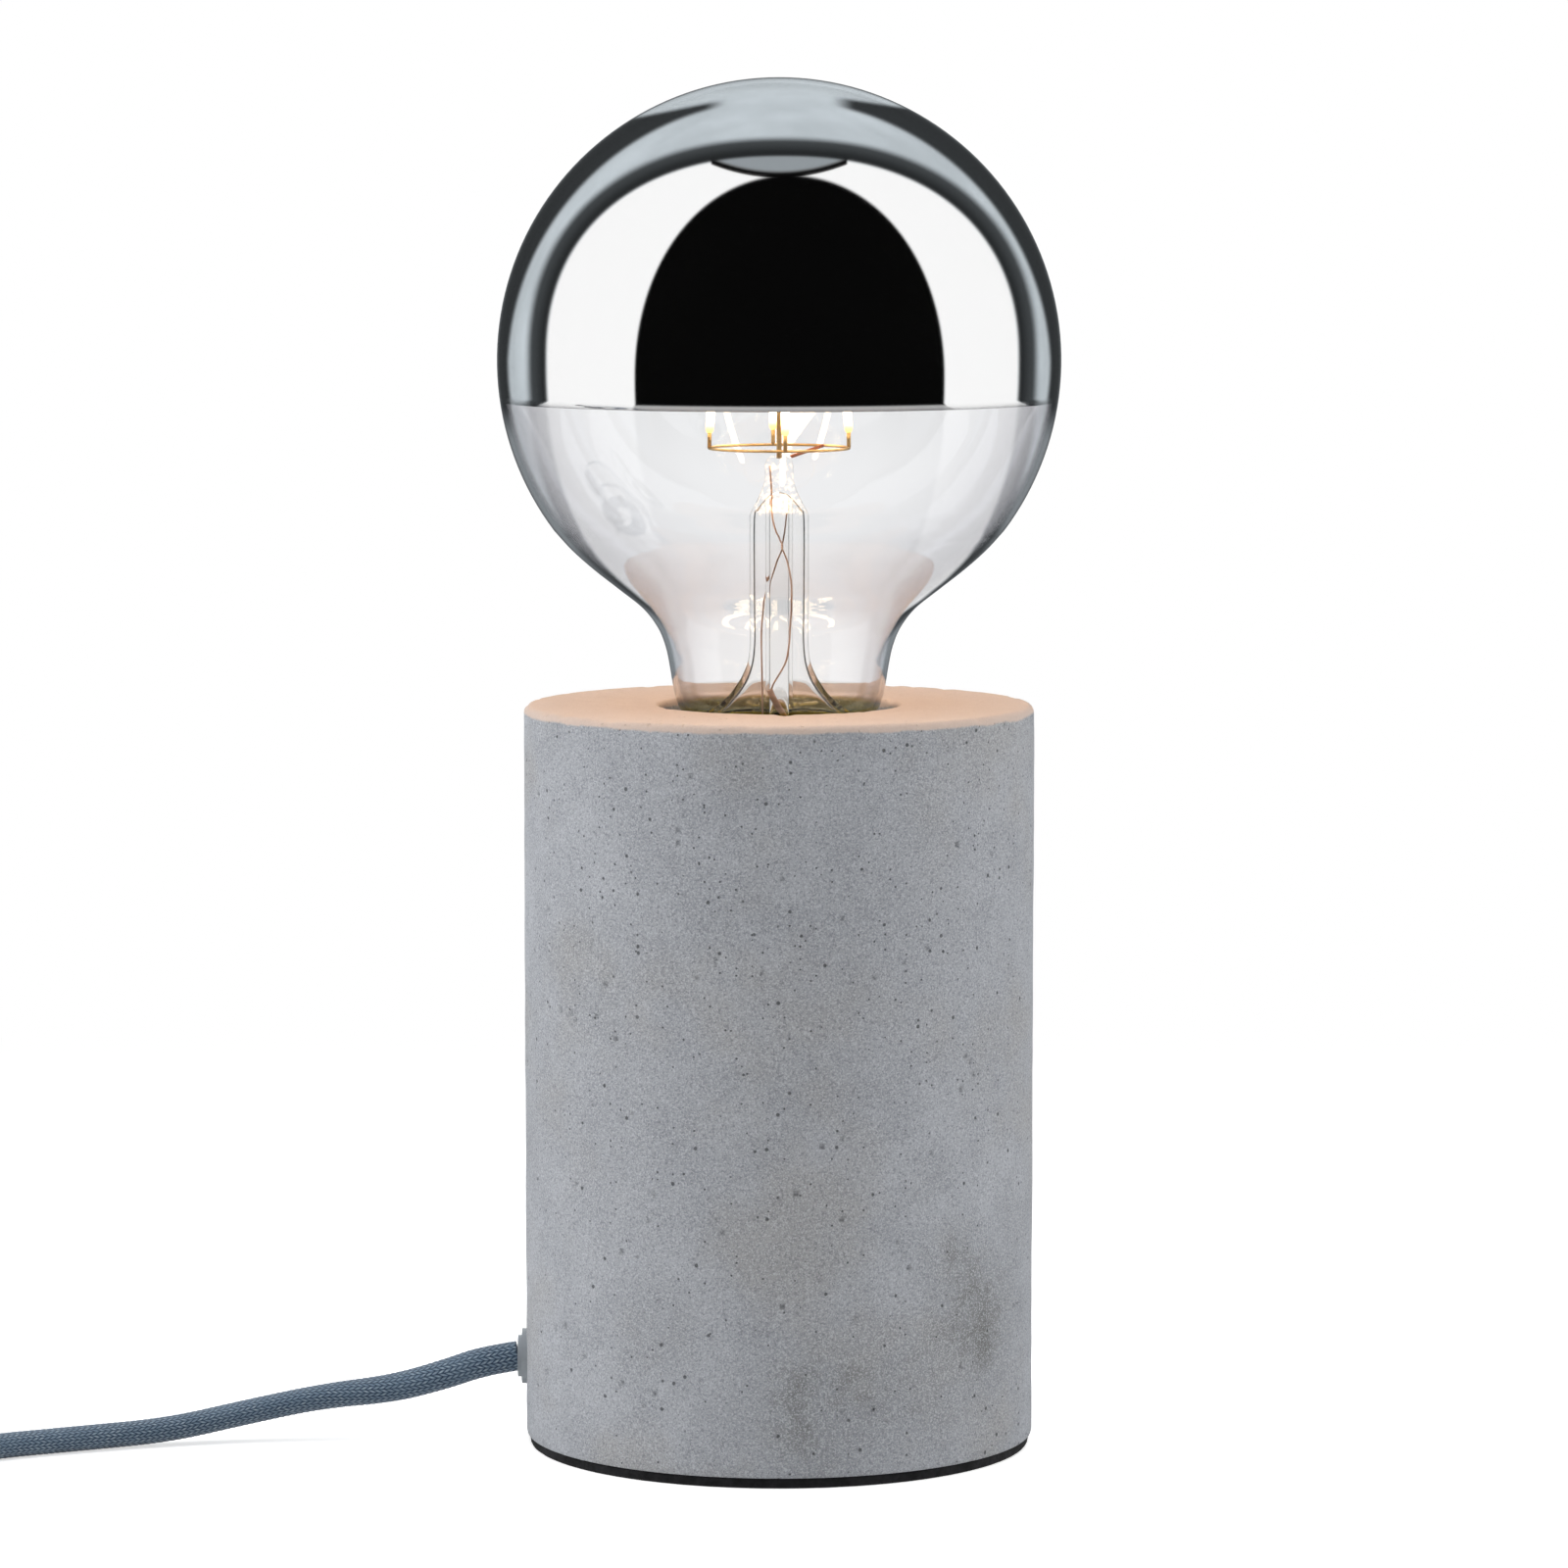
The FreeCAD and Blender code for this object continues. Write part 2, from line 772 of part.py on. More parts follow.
def lead_wires():
    """Two wires from the board up beside the exhaust tube, one on to the lower ring."""
    gap = exhaust_radius + lead_wire_radius + 0.4
    low = cap_low + board_lift + board_height
    first = tube(
        [
            Vector(-gap, 0, low),
            Vector(-gap, 0, flare_z),
            Vector(-gap, -0.3, stem_shoulder_z - 2.5),
        ],
        lead_wire_radius,
    )
    second = tube(
        [
            Vector(gap, 0, low),
            Vector(gap, 0, flare_z),
            Vector(gap, 0.3, stem_shoulder_z - 2.5),
        ],
        lead_wire_radius,
    )
    start = Vector(stem_top_radius - 0.5, 0, stem_tip_z - 0.3)
    ring_point = polar(ring_radius - 0.1, filament_first_angle + 45, ring_z)
    arm = rod(lead_wire_radius, start, ring_point)
    arm = arm.cut(pieces["filament_ring_lower"]).cut(pieces["bulb_stem"])
    return Part.makeCompound([first, second]), arm


def driver_board():
    low = cap_low + board_lift
    board = block(board_width, board_thickness, low, low + board_height)
    choke = rod(3.2, Vector(-3.4, board_thickness / 2, low + 6), Vector(-3.4, board_thickness / 2 + 5, low + 6))
    capacitor = rod(2.6, Vector(3.6, -board_thickness / 2 - 2.7, low + 1.5), Vector(3.6, -board_thickness / 2 - 2.7, low + 11))
    capacitor_feet = block(3.0, 1.2, low + 2.0, low + 4.0, x=3.6, y=-board_thickness / 2 - 0.4)
    chip = block(4.0, 1.6, low + 5.0, low + 8.0, x=-3.4, y=-board_thickness / 2 - 0.8)
    return board.fuse([choke, capacitor, capacitor_feet, chip]).removeSplitter()


def driver_wires():
    top = cap_low + board_lift
    live = rod(lead_wire_radius, Vector(0, 0, cap_low - 2.0), Vector(0, 0, top))
    side = cap_radius - cap_wall
    neutral = rod(
        lead_wire_radius,
        Vector(board_width / 2, 0, top + board_height / 2),
        Vector(side, 0, top + board_height / 2),
    )
    return Part.makeCompound([live, neutral])


# ---- cord inside the base -----------------------------------------------------------------------

bush_tube_radius = cord_radius + slip_gap + bush_wall
bush_seat_x = -(base_radius - 0.4)
bush_face_x = bush_seat_x - bush_flange_thickness
exit_x = bush_face_x - bush_collar_length
grip_x = -17.0
cord_end_x = -8.0


def cable_bush():
    """A flanged grommet: a collar outside, a barb behind the wall."""
    bore = cord_radius + slip_gap
    axis = Vector(0, 0, exit_height)
    inner_x = -wiring_room_radius
    parts = [
        rod(bush_tube_radius, axis + Vector(bush_seat_x, 0, 0), axis + Vector(inner_x + 2.2, 0, 0)),
        rod(bush_flange_radius, axis + Vector(bush_face_x, 0, 0), axis + Vector(bush_seat_x, 0, 0)),
        rod(bush_tube_radius - 0.1, axis + Vector(exit_x, 0, 0), axis + Vector(bush_face_x, 0, 0)),
        Part.makeCone(
            bush_tube_radius + 0.9,
            bush_tube_radius,
            1.6,
            axis + Vector(inner_x + 0.6, 0, 0),
            Vector(1, 0, 0),
        ),
    ]
    body = parts[0].fuse(parts[1:]).removeSplitter()
    hole = rod(bore, axis + Vector(exit_x - 1, 0, 0), axis)
    return body.cut(hole)


def grip_hole(side, z):
    return Vector(grip_x, side * (grip_width / 2 - 3.0), z)


def cord_grip():
    low, middle = plate_top, exit_height
    body = block(grip_length, grip_width, low, middle - 0.4, x=grip_x)
    saddle = block(grip_length, grip_width, middle + 0.4, middle + cord_radius + grip_saddle_height - 1.0, x=grip_x)
    saddle = saddle.makeFillet(1.2, [e for e in saddle.Edges if on_top_along_x(e, saddle)])
    channel = rod(
        cord_radius,
        Vector(grip_x - grip_length, 0, middle),
        Vector(grip_x + grip_length, 0, middle),
    )
    high = middle + cord_radius + grip_saddle_height - 1.0
    screws = []
    for side in (-1, 1):
        hole = rod(screw_radius + slip_gap, grip_hole(side, low - 1), grip_hole(side, high + 1))
        body, saddle = body.cut(hole), saddle.cut(hole)
        screws.append(
            rod(screw_radius, grip_hole(side, foot_z), grip_hole(side, high)).fuse(
                rod(screw_radius + 1.1, grip_hole(side, high), grip_hole(side, high + 1.8))
            )
        )
    keep("cord_grip_block", body.cut(channel))
    keep("cord_grip_saddle", saddle.cut(channel))
    keep("cord_grip_screws", Part.makeCompound(screws))


def on_top_along_x(edge, solid):
    a, b = (v.Point for v in edge.Vertexes)
    top = solid.BoundBox.ZMax
    return abs(a.z - top) < 1e-6 and abs(b.z - top) < 1e-6 and abs(a.y - b.y) < 1e-6


def inner_wires(nipple_low):
    """The cord's two cores, from its end up through the nipple to the terminals."""
    spread = core_radius + 0.3
    end_z = block_low - terminal_size + 1.5
    nipple_top = nipple_low + nipple_length
    for name, side in (("live_wire", -1), ("neutral_wire", 1)):
        y = side * spread
        route = [
            Vector(cord_end_x, y, exit_height),
            Vector(cord_end_x + 5.0, y, exit_height),
            Vector(0, y, exit_height + 9.0),
            Vector(0, y, nipple_top + 1.5),
            Vector(side * terminal_spread, 0, nipple_top + 2.7),
            Vector(side * terminal_spread, 0, end_z),
        ]
        keep(name, tube(route, core_radius))


# ---- cord on the table ----------------------------------------------------------------------------

on_floor = cord_radius
coil_centre = Vector(-179, 5, 0)
coil_outer_radius = 39.0
coil_turns_in = 3
coil_start_angle = 118.0
coil_turns_out = 2.5 + (coil_start_angle + 90.0) / 360
tie_thickness = 0.6
tie_width = 8.0
switch_place = Vector(-267.7, 29.8, 0)
plug_place = Vector(-219, 12.5, 0)
plug_turn = 15.0

turn_pitch = 2 * cord_radius + coil_gap
coil_low = on_floor + tie_thickness + slip_gap
coil_high = coil_low + turn_pitch
coil_inner_radius = coil_outer_radius - turn_pitch * coil_turns_in


def coil_state(turns):
    """Radius, height and their rates per turn, after so many turns from the entry."""
    climb_end = coil_turns_in + 0.5
    if turns < coil_turns_in + 1e-9:
        return coil_outer_radius - turn_pitch * turns, coil_low, -turn_pitch, 0.0
    if turns > climb_end - 1e-9:
        return coil_inner_radius + turn_pitch * (turns - climb_end), coil_high, turn_pitch, 0.0
    return coil_inner_radius - turn_pitch / 8, (coil_low + coil_high) / 2, 0.0, 2.6 * turn_pitch


def coil_point(turns):
    radius, z, radius_rate, z_rate = coil_state(turns)
    angle = coil_start_angle - 360 * turns
    out = polar(1, angle)
    forward = polar(1, angle - 90)
    place = coil_centre + out * radius + Vector(0, 0, z)
    heading = forward * (2 * math.pi * radius) + out * radius_rate + Vector(0, 0, z_rate)
    return place, heading.normalize()


def arc_pair(start, start_way, end, end_way):
    """Two arcs that join two places with the given headings."""
    gap = end - start
    both = start_way + end_way
    a = both.dot(both) - 4
    b = -2 * gap.dot(both)
    c = gap.dot(gap)
    reach = (-b - math.sqrt(b * b - 4 * a * c)) / (2 * a)
    first = start + start_way * reach
    last = end - end_way * reach
    middle = (first + last) * 0.5
    return [
        corner_arc(start, first, middle, reach)[0],
        corner_arc(middle, last, end, reach)[0],
    ]


def cord_coil():
    total = coil_turns_in + 0.5 + coil_turns_out
    quarters = math.floor(total * 4)
    states = [coil_point(k / 4) for k in range(quarters + 1)] + [coil_point(total)]
    straight = 2 * cord_radius
    begin, begin_way = states[0]
    finish, finish_way = states[-1]
    edges = [Part.LineSegment(begin - begin_way * straight, begin).toShape()]
    for (a, a_way), (b, b_way) in zip(states, states[1:]):
        edges += arc_pair(a, a_way, b, b_way)
    edges.append(Part.LineSegment(finish, finish + finish_way * straight).toShape())
    wire = Part.Wire(edges)
    solid = tube_on(wire, cord_radius)
    print_gap(wire)
    expected = math.pi * cord_radius**2 * wire.Length
    print("cord_coil length %.1f" % wire.Length, "volume / expected %.4f" % (solid.Volume / expected))
    keep("cord_coil", solid)
    return wire.Length, (begin - begin_way * straight, begin_way), (finish + finish_way * straight, finish_way)


def print_gap(wire):
    """Writes the least gap between stretches of the coil that aren't neighbours."""
    points = wire.discretize(Distance=2.0)
    skip = int(12 * cord_radius / 2.0)
    least = min(
        (p - q).Length for k, p in enumerate(points) for q in points[k + skip :]
    )
    print("cord_coil least gap to itself %.2f" % (least - 2 * cord_radius))


def coil_tie():
    """A soft band round the bundle of turns, near where the tail leaves it."""
    inner_turn = coil_inner_radius - turn_pitch / 8
    inner = math.sqrt(inner_turn**2 - tie_width**2 / 4) - cord_radius - 2 * slip_gap
    outer = coil_outer_radius + cord_radius + slip_gap
    low = coil_low - cord_radius - slip_gap
    high = coil_high + cord_radius + slip_gap
    wall = tie_thickness
    angle = -135.0
    band = block(outer - inner + 2 * wall, tie_width, low - wall, high + wall, x=(inner + outer) / 2)
    hollow = block(outer - inner, tie_width + 2, low, high, x=(inner + outer) / 2)
    band = band.makeFillet(
        wall * 0.9, [e for e in band.Edges if abs(e.Vertexes[0].Point.y - e.Vertexes[-1].Point.y) > 1]
    )
    band = band.cut(hollow)
    band.rotate(Vector(0, 0, 0), Vector(0, 0, 1), angle)
    band.translate(coil_centre)
    return band


def switch_shell(low, high, inset):
    """The switch's plan outline, drawn the given distance inside its face."""
    half = switch_length / 2 - inset
    wide = switch_width / 2 - inset
    narrow = switch_nose_width / 2 - inset
    waist = half - switch_nose_length
    points = [
        (-half, -narrow),
        (-waist, -wide),
        (waist, -wide),
        (half, -narrow),
        (half, narrow),
        (waist, wide),
        (-waist, wide),
        (-half, narrow),
    ]
    return prism(points, low, high)


def upright_edges(solid):
    return [e for e in solid.Edges if abs(e.Vertexes[0].Point.z - e.Vertexes[-1].Point.z) > 1]


def level_edges(solid, z):
    return [e for e in solid.Edges if all(abs(v.Point.z - z) < 1e-6 for v in e.Vertexes)]


def switch():
    split = switch_split
    wall = switch_wall
    place = switch_place
    pivot_z = switch_height - 3.2

    def settle(shape):
        shape.translate(place)
        return shape

    outer = switch_shell(0, switch_height, 0)
    outer = outer.makeFillet(4.0, upright_edges(outer))
    outer = outer.makeFillet(1.6, level_edges(outer, 0) + level_edges(outer, switch_height))
    room = switch_shell(wall, switch_height - wall, wall)
    shell = outer.cut(room)
    lower_half = block(200, 200, -1, split)
    upper_half = block(200, 200, split, 50)
    opening = block(rocker_length + 2 * swing_gap, rocker_width + 2 * loose_gap, split, 50)
    bearings = []
    for side in (-1, 1):
        y = side * (rocker_width / 2 + loose_gap + 1.0)
        bearing = block(6.0, 2.0, pivot_z - 3.0, switch_height - wall + 0.2, y=y)
        bearings.append(bearing)
    pin_reach = rocker_width / 2 + loose_gap + 2.0
    pin_start, pin_end = Vector(0, -pin_reach, pivot_z), Vector(0, pin_reach, pivot_z)
    pin_hole = rod(rocker_pin_radius, pin_start, pin_end)
    upper = shell.common(upper_half).cut(opening).fuse(bearings).cut(pin_hole)
    lower = shell.common(lower_half)
    posts = []
    screws = []
    inset = switch_length / 2 - switch_nose_length - 1.5
    for x, y in ((-inset, -8.0), (inset, 8.0)):
        post = rod(2.8, Vector(x, y, wall - 0.2), Vector(x, y, split))
        cap_post = rod(2.8, Vector(x, y, split), Vector(x, y, switch_height - wall + 0.2))
        clear = rod(screw_radius + slip_gap, Vector(x, y, -1), Vector(x, y, split + 6))
        sink = rod(screw_head_radius + slip_gap, Vector(x, y, -1), Vector(x, y, 1.2))
        lower = lower.fuse(post).cut(clear).cut(sink)
        upper = upper.fuse(cap_post).cut(clear)
        screw = rod(screw_head_radius, Vector(x, y, 0.2), Vector(x, y, 1.2))
        screws.append(screw.fuse(rod(screw_radius, Vector(x, y, 1.2), Vector(x, y, split + 5))))
    keep("switch_lower_housing", settle(lower.removeSplitter()))
    keep("switch_upper_housing", settle(upper.removeSplitter()))
    keep("switch_screws", settle(Part.makeCompound(screws)))
    keep("rocker_pin", settle(rod(rocker_pin_radius, pin_start, pin_end)))
    keep("switch_rocker", settle(rocker(pivot_z)))
    keep("switch_contacts", settle(switch_contacts(wall)))
    reliefs = []
    for side in (-1, 1):
        root = Vector(side * switch_length / 2, 0, split)
        reliefs.append(
            Part.makeCone(4.6, 3.3, switch_relief_length, root, Vector(side, 0, 0))
        )
    keep("switch_cord_sleeves", settle(Part.makeCompound(reliefs)))


switch_relief_length = 8.0
switch_end = switch_length / 2 + switch_relief_length


def rocker(pivot_z):
    """A rocker with two pressed faces, at rest with its near end down."""
    half = rocker_length / 2
    rise = half * math.tan(math.radians(rocker_tilt))
    top = switch_height + 0.6
    low = pivot_z - 2.4
    side = [
        Vector(-half, 0, top + rise),
        Vector(0, 0, top - 0.2),
        Vector(half, 0, top + rise),
        Vector(half, 0, top - 3.2 + rise),
        Vector(3.0, 0, low),
        Vector(-3.0, 0, low),
        Vector(-half, 0, top - 3.2 + rise),
    ]
    face = Part.Face(Part.makePolygon(side + side[:1]))
    body = face.extrude(Vector(0, rocker_width, 0))
    body.translate(Vector(0, -rocker_width / 2, 0))
    ends = [e for e in body.Edges if abs(e.Vertexes[0].Point.x) > half - 1e-6]
    ends = [e for e in ends if abs(e.Vertexes[0].Point.y - e.Vertexes[-1].Point.y) > 1]
    body = body.makeFillet(0.6, ends)
    bore = rod(rocker_pin_radius + thread_gap, Vector(0, -50, pivot_z), Vector(0, 50, pivot_z))
    body = body.cut(bore)
    body.rotate(Vector(0, 0, pivot_z), Vector(0, 1, 0), rocker_tilt)
    return body


def switch_contacts(wall):
    """Two brass clamps and a spring leaf, on the floor of the lower housing."""
    bases = []
    for x in (-16.0, 16.0):
        clamp = block(6.0, 7.0, wall, wall + 5.0, x=x, y=-3.5 if x > 0 else 3.5)
        bases.append(clamp.cut(rod(1.1, Vector(x - 5, 3.5 if x < 0 else -3.5, wall + 2.5), Vector(x + 5, 3.5 if x < 0 else -3.5, wall + 2.5))))
    leaf = strip([(-9.0, wall + 0.6), (-4.0, wall + 0.6), (4.0, wall + 2.6), (9.0, wall + 2.6)], 4.0, 0.6)
    bases.append(leaf)
    return Part.makeCompound(bases)


# ---- plug --------------------------------------------------------------------------------------------


def plug():
    """A flat two-pin plug that lies on the coil, turned so that its pins point past the base."""
    z = coil_high + cord_radius + slip_gap + plug_thickness / 2
    start = plug_place + Vector(0, 0, z)
    face_x = start.x + plug_relief_length + plug_depth
    half_width, half_back = plug_width / 2, plug_relief_root + 3.0
    rear_x = start.x + plug_relief_length
    waist_x = rear_x + plug_depth * 0.45
    plan = [
        (rear_x, start.y - half_back),
        (waist_x, start.y - half_width + 1.5),
        (face_x, start.y - half_width),
        (face_x, start.y + half_width),
        (waist_x, start.y + half_width - 1.5),
        (rear_x, start.y + half_back),
    ]
    body = prism(plan, z - plug_thickness / 2, z + plug_thickness / 2)
    body = body.makeFillet(4.0, upright_edges(body))
    body = body.makeFillet(2.6, level_edges(body, z - plug_thickness / 2) + level_edges(body, z + plug_thickness / 2))
    pins = []
    sleeves = []
    for side in (-1, 1):
        root = Vector(face_x, start.y + side * plug_pin_spacing / 2, z)
        seat = root - Vector(6.0, 0, 0)
        tip = root + Vector(plug_pin_length, 0, 0)
        sleeve_end = root + Vector(plug_sleeve_length, 0, 0)
        pin = rod(plug_pin_radius, sleeve_end, tip)
        pin = pin.makeFillet(0.9, [e for e in pin.Edges if e.BoundBox.XMin > tip.x - 1e-6])
        core = rod(plug_pin_radius - 0.4, seat, sleeve_end)
        pins.append(pin.fuse(core).removeSplitter())
        sleeves.append(rod(plug_pin_radius, root, sleeve_end).cut(core))
        body = body.cut(core)
    shapes = {
        "plug_body": body,
        "plug_pins": Part.makeCompound(pins),
        "plug_pin_sleeves": Part.makeCompound(sleeves),
        "plug_strain_relief": Part.makeCone(
            3.3, plug_relief_root, plug_relief_length, start, Vector(1, 0, 0)
        ),
    }
    for name, shape in shapes.items():
        shape.rotate(start, Vector(0, 0, 1), plug_turn)
        keep(name, shape)
    return start


def cord_routes():
    """The free stretches, in their order from the lamp to the plug."""
    lengths = []
    coil_length, entry, leave = cord_coil()
    switch_start = switch_place.x - switch_end
    switch_finish = switch_place.x + switch_end
    lead = [
        Vector(exit_x, 0, exit_height),
        Vector(-49.7, 0, exit_height),
        Vector(-55.5, 0, 13.2),
        Vector(-62.5, 0, 10.3),
        Vector(-75.0, 0, 7.9),
        Vector(-91.0, 0, 5.8),
        Vector(-104.0, -2.0, 3.2),
        Vector(-118.0, -8.5, on_floor),
        Vector(-135.0, -18.0, on_floor),
        Vector(-152.0, -36.0, on_floor),
        Vector(-178.0, -44.4, on_floor),
        Vector(-210.0, -44.9, on_floor),
        Vector(-241.0, -45.0, on_floor),
        Vector(-269.0, -43.4, on_floor),
        Vector(-294.8, -38.0, on_floor),
        Vector(-315.0, -29.0, on_floor),
        Vector(-328.3, -15.7, on_floor),
        Vector(-334.6, -2.1, on_floor),
        Vector(-334.6, 11.4, 3.4),
        Vector(-327.9, 23.05, 5.6),
        Vector(switch_start - 13.5, switch_place.y, switch_split),
        Vector(switch_start, switch_place.y, switch_split),
    ]
    lengths.append(cord_tube("cord_lead", lead))
    entry_place, entry_way = entry
    link = [
        Vector(switch_finish, switch_place.y, switch_split),
        Vector(switch_finish + 11.0, switch_place.y, switch_split),
        entry_place - entry_way * 10.9,
        entry_place,
    ]
    lengths.append(cord_tube("cord_link", link))
    leave_place, leave_way = leave
    plug_start = plug()
    plug_way = polar(1, plug_turn)
    tail = [
        leave_place,
        leave_place + leave_way * 12.2,
        Vector(-213.4, -37.6, 3.0),
        Vector(-228.3, -35.6, 3.0),
        Vector(-240.4, -26.5, 3.0),
        Vector(-245.6, -12.9, 6.9),
        Vector(-242.4, 0, 14.1),
        plug_start - plug_way * 13.6,
        plug_start,
    ]
    lengths.append(cord_tube("cord_tail", tail))
    print("cord in all %.0f" % (sum(lengths) + coil_length + 2 * switch_end))


def build():
    keep("concrete_body", concrete_body())
    keep("base_pad", base_pad())
    keep("bottom_plate", bottom_plate())
    plate_fasteners()
    keep("socket_outer_shell", socket_outer_shell())
    keep("socket_base_cap", socket_base_cap())
    keep("socket_insulator_block", socket_insulator_block())
    keep("socket_thread_shell", socket_thread_shell())
    keep("socket_centre_contact", socket_centre_contact())
    keep("socket_side_contact", socket_side_contact())
    keep("socket_terminals", socket_terminals())
    keep("socket_terminal_screws", socket_terminal_screws())
    nipple_low = nipple_parts()
    keep("bulb_glass", bulb_glass())
    keep("mirror_coating", mirror_coating())
    keep("bulb_cap_shell", bulb_cap_shell())
    keep("cap_cement", cap_cement())
    keep("cap_insulator", cap_insulator())
    keep("cap_contact_tip", cap_contact_tip())
    keep("bulb_stem", bulb_stem())
    keep("exhaust_tube", exhaust_tube())
    light_source()
    wires, arm = lead_wires()
    keep("filament_lead_wires", wires)
    keep("ring_support_wire", arm)
    keep("driver_board", driver_board())
    keep("driver_wires", driver_wires())
    keep("cable_bush", cable_bush())
    cord_grip()
    keep(
        "cord_inside",
        rod(cord_radius, Vector(exit_x, 0, exit_height), Vector(cord_end_x, 0, exit_height)),
    )
    inner_wires(nipple_low)
    cord_routes()
    keep("coil_tie", coil_tie())
    switch()


build()
os.makedirs("parts", exist_ok=True)
for node, shape in pieces.items():
    good = shape.isValid() and all(s.isClosed() for s in shape.Shells)
    if not good or not shape.Solids:
        print("not a closed solid:", node, shape.ShapeType, len(shape.Solids))
    shape.exportStep("parts/" + node + ".step")
print(len(pieces), "nodes")
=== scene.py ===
import random
from math import asin, cos, hypot, pi, radians, sin, sqrt, tan, tau

import bmesh
import bpy
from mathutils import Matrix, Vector, noise


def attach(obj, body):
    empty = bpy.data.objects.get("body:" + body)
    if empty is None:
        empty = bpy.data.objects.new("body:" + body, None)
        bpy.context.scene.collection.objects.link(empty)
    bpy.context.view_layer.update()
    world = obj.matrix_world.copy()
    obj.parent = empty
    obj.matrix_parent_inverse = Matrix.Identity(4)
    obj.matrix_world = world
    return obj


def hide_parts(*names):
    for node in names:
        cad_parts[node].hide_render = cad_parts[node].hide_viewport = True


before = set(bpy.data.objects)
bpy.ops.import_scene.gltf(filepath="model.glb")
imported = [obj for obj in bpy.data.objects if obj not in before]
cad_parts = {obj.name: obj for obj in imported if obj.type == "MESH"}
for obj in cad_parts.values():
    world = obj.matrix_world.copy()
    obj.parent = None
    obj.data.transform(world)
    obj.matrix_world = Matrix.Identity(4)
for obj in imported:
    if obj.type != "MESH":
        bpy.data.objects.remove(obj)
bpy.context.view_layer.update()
mm = 0.001
scene = bpy.context.scene

# mesh helpers


def newPiece(name, points, faces):
    mesh = bpy.data.meshes.new(name)
    mesh.from_pydata([tuple(p) for p in points], [], faces)
    mesh.update()
    mesh.shade_smooth()
    piece = bpy.data.objects.new(name, mesh)
    scene.collection.objects.link(piece)
    return piece


def dress(piece, material, body, slotName, *nodes):
    piece.data.materials.clear()
    piece.data.materials.append(material)
    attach(piece, body)
    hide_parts(*nodes)


def ringFaces(pairs, segments):
    # quads between rings of points, for each pair of rings
    faces = []
    for low, high in pairs:
        for k in range(segments):
            j = (k + 1) % segments
            faces.append((low * segments + k, low * segments + j, high * segments + j, high * segments + k))
    return faces


def tubeFaces(count, segments):
    # a tube of that many rings, closed at both ends
    ends = [tuple(range(segments))[::-1], tuple(range((count - 1) * segments, count * segments))]
    return ringFaces([(i, i + 1) for i in range(count - 1)], segments) + ends


def softPath(points, perSpan=8):
    # a smooth line through given points
    out = []
    pts = [Vector(p).to_3d() for p in points]
    for i in range(len(pts) - 1):
        a, b = pts[i], pts[i + 1]
        before = pts[i - 1] if i else a - (b - a)
        after = pts[i + 2] if i + 2 < len(pts) else b + (b - a)
        bend = 2 * before - 5 * a + 4 * b - after
        sway = 3 * a - before - 3 * b + after
        for k in range(perSpan):
            t = k / perSpan
            out.append(0.5 * (2 * a + (b - before) * t + bend * t * t + sway * t**3))
    return out + [pts[-1]]


def softLine(points, perSpan=5):
    # the same for a profile
    return [(p.x, p.y) for p in softPath(points, perSpan)]


def roundCorner(corner, before, after, radius, steps=6):
    # the arc that rounds a corner of a profile
    c = Vector(corner)
    u = (Vector(before) - c).normalized()
    v = (Vector(after) - c).normalized()
    half = u.angle(v) / 2
    centre = c + (u + v).normalized() * (radius / sin(half))
    reach = radius / tan(half)
    start, end = c + u * reach - centre, c + v * reach - centre
    turn = start.angle_signed(end)
    out = []
    for k in range(steps + 1):
        co, si = cos(turn * k / steps), sin(turn * k / steps)
        out.append((centre.x + start.x * co + start.y * si, centre.y - start.x * si + start.y * co))
    return out


def roundedProfile(corners, steps=6):
    # corners are (r, z, rounding) in mm; a closed outline
    out = []
    for i, (r, z, rounding) in enumerate(corners):
        if rounding <= 0:
            out.append((r, z))
            continue
        before, after = corners[i - 1][:2], corners[(i + 1) % len(corners)][:2]
        out += roundCorner((r, z), before, after, rounding, steps)
    return out


def spun(name, profile, steps=96, closed=True):
    # revolves a (radius, height) profile in mm about the lamp's axis
    points, faces, rows = [], [], []
    for r, z in profile:
        if r < 1e-6:
            rows.append([len(points)])
            points.append((0, 0, z * mm))
            continue
        rows.append(list(range(len(points), len(points) + steps)))
        for k in range(steps):
            a = tau * k / steps
            points.append((r * cos(a) * mm, r * sin(a) * mm, z * mm))
    pairs = list(zip(rows, rows[1:]))
    if closed:
        pairs.append((rows[-1], rows[0]))
    for low, high in pairs:
        for k in range(steps):
            j = (k + 1) % steps
            quad = [low[k % len(low)], low[j % len(low)], high[j % len(high)], high[k % len(high)]]
            quad = list(dict.fromkeys(quad))
            if len(quad) > 2:
                faces.append(quad)
    piece = newPiece(name, points, faces)
    bm = bmesh.new()
    bm.from_mesh(piece.data)
    bmesh.ops.recalc_face_normals(bm, faces=bm.faces)
    bm.to_mesh(piece.data)
    bm.free()
    piece.data.shade_smooth()
    return piece


def sharpen(piece, degrees=35):
    # smooth shading that breaks at real edges
    bm = bmesh.new()
    bm.from_mesh(piece.data)
    for edge in bm.edges:
        if len(edge.link_faces) == 2:
            edge.smooth = edge.calc_face_angle(0) < radians(degrees)
    bm.to_mesh(piece.data)
    bm.free()
    piece.data.update()
    return piece

# material helpers


def newMaterial(name, fixed=None):
    # a material with its principled shader, on which the fixed values are set
    material = bpy.data.materials.new(name)
    material.use_nodes = True
    tree = material.node_tree
    tree.nodes.clear()
    skin = put(tree, "BsdfPrincipled", fixed)
    put(tree, "OutputMaterial", {0: skin.outputs[0]})
    return material, tree, skin


def made(kind, values, **settings):
    # adds a node in the tree of a socket that is among its values, and gives what comes out
    tree = next(v.id_data for v in values.values() if isinstance(v, bpy.types.NodeSocket))
    return put(tree, kind, values, **settings).outputs


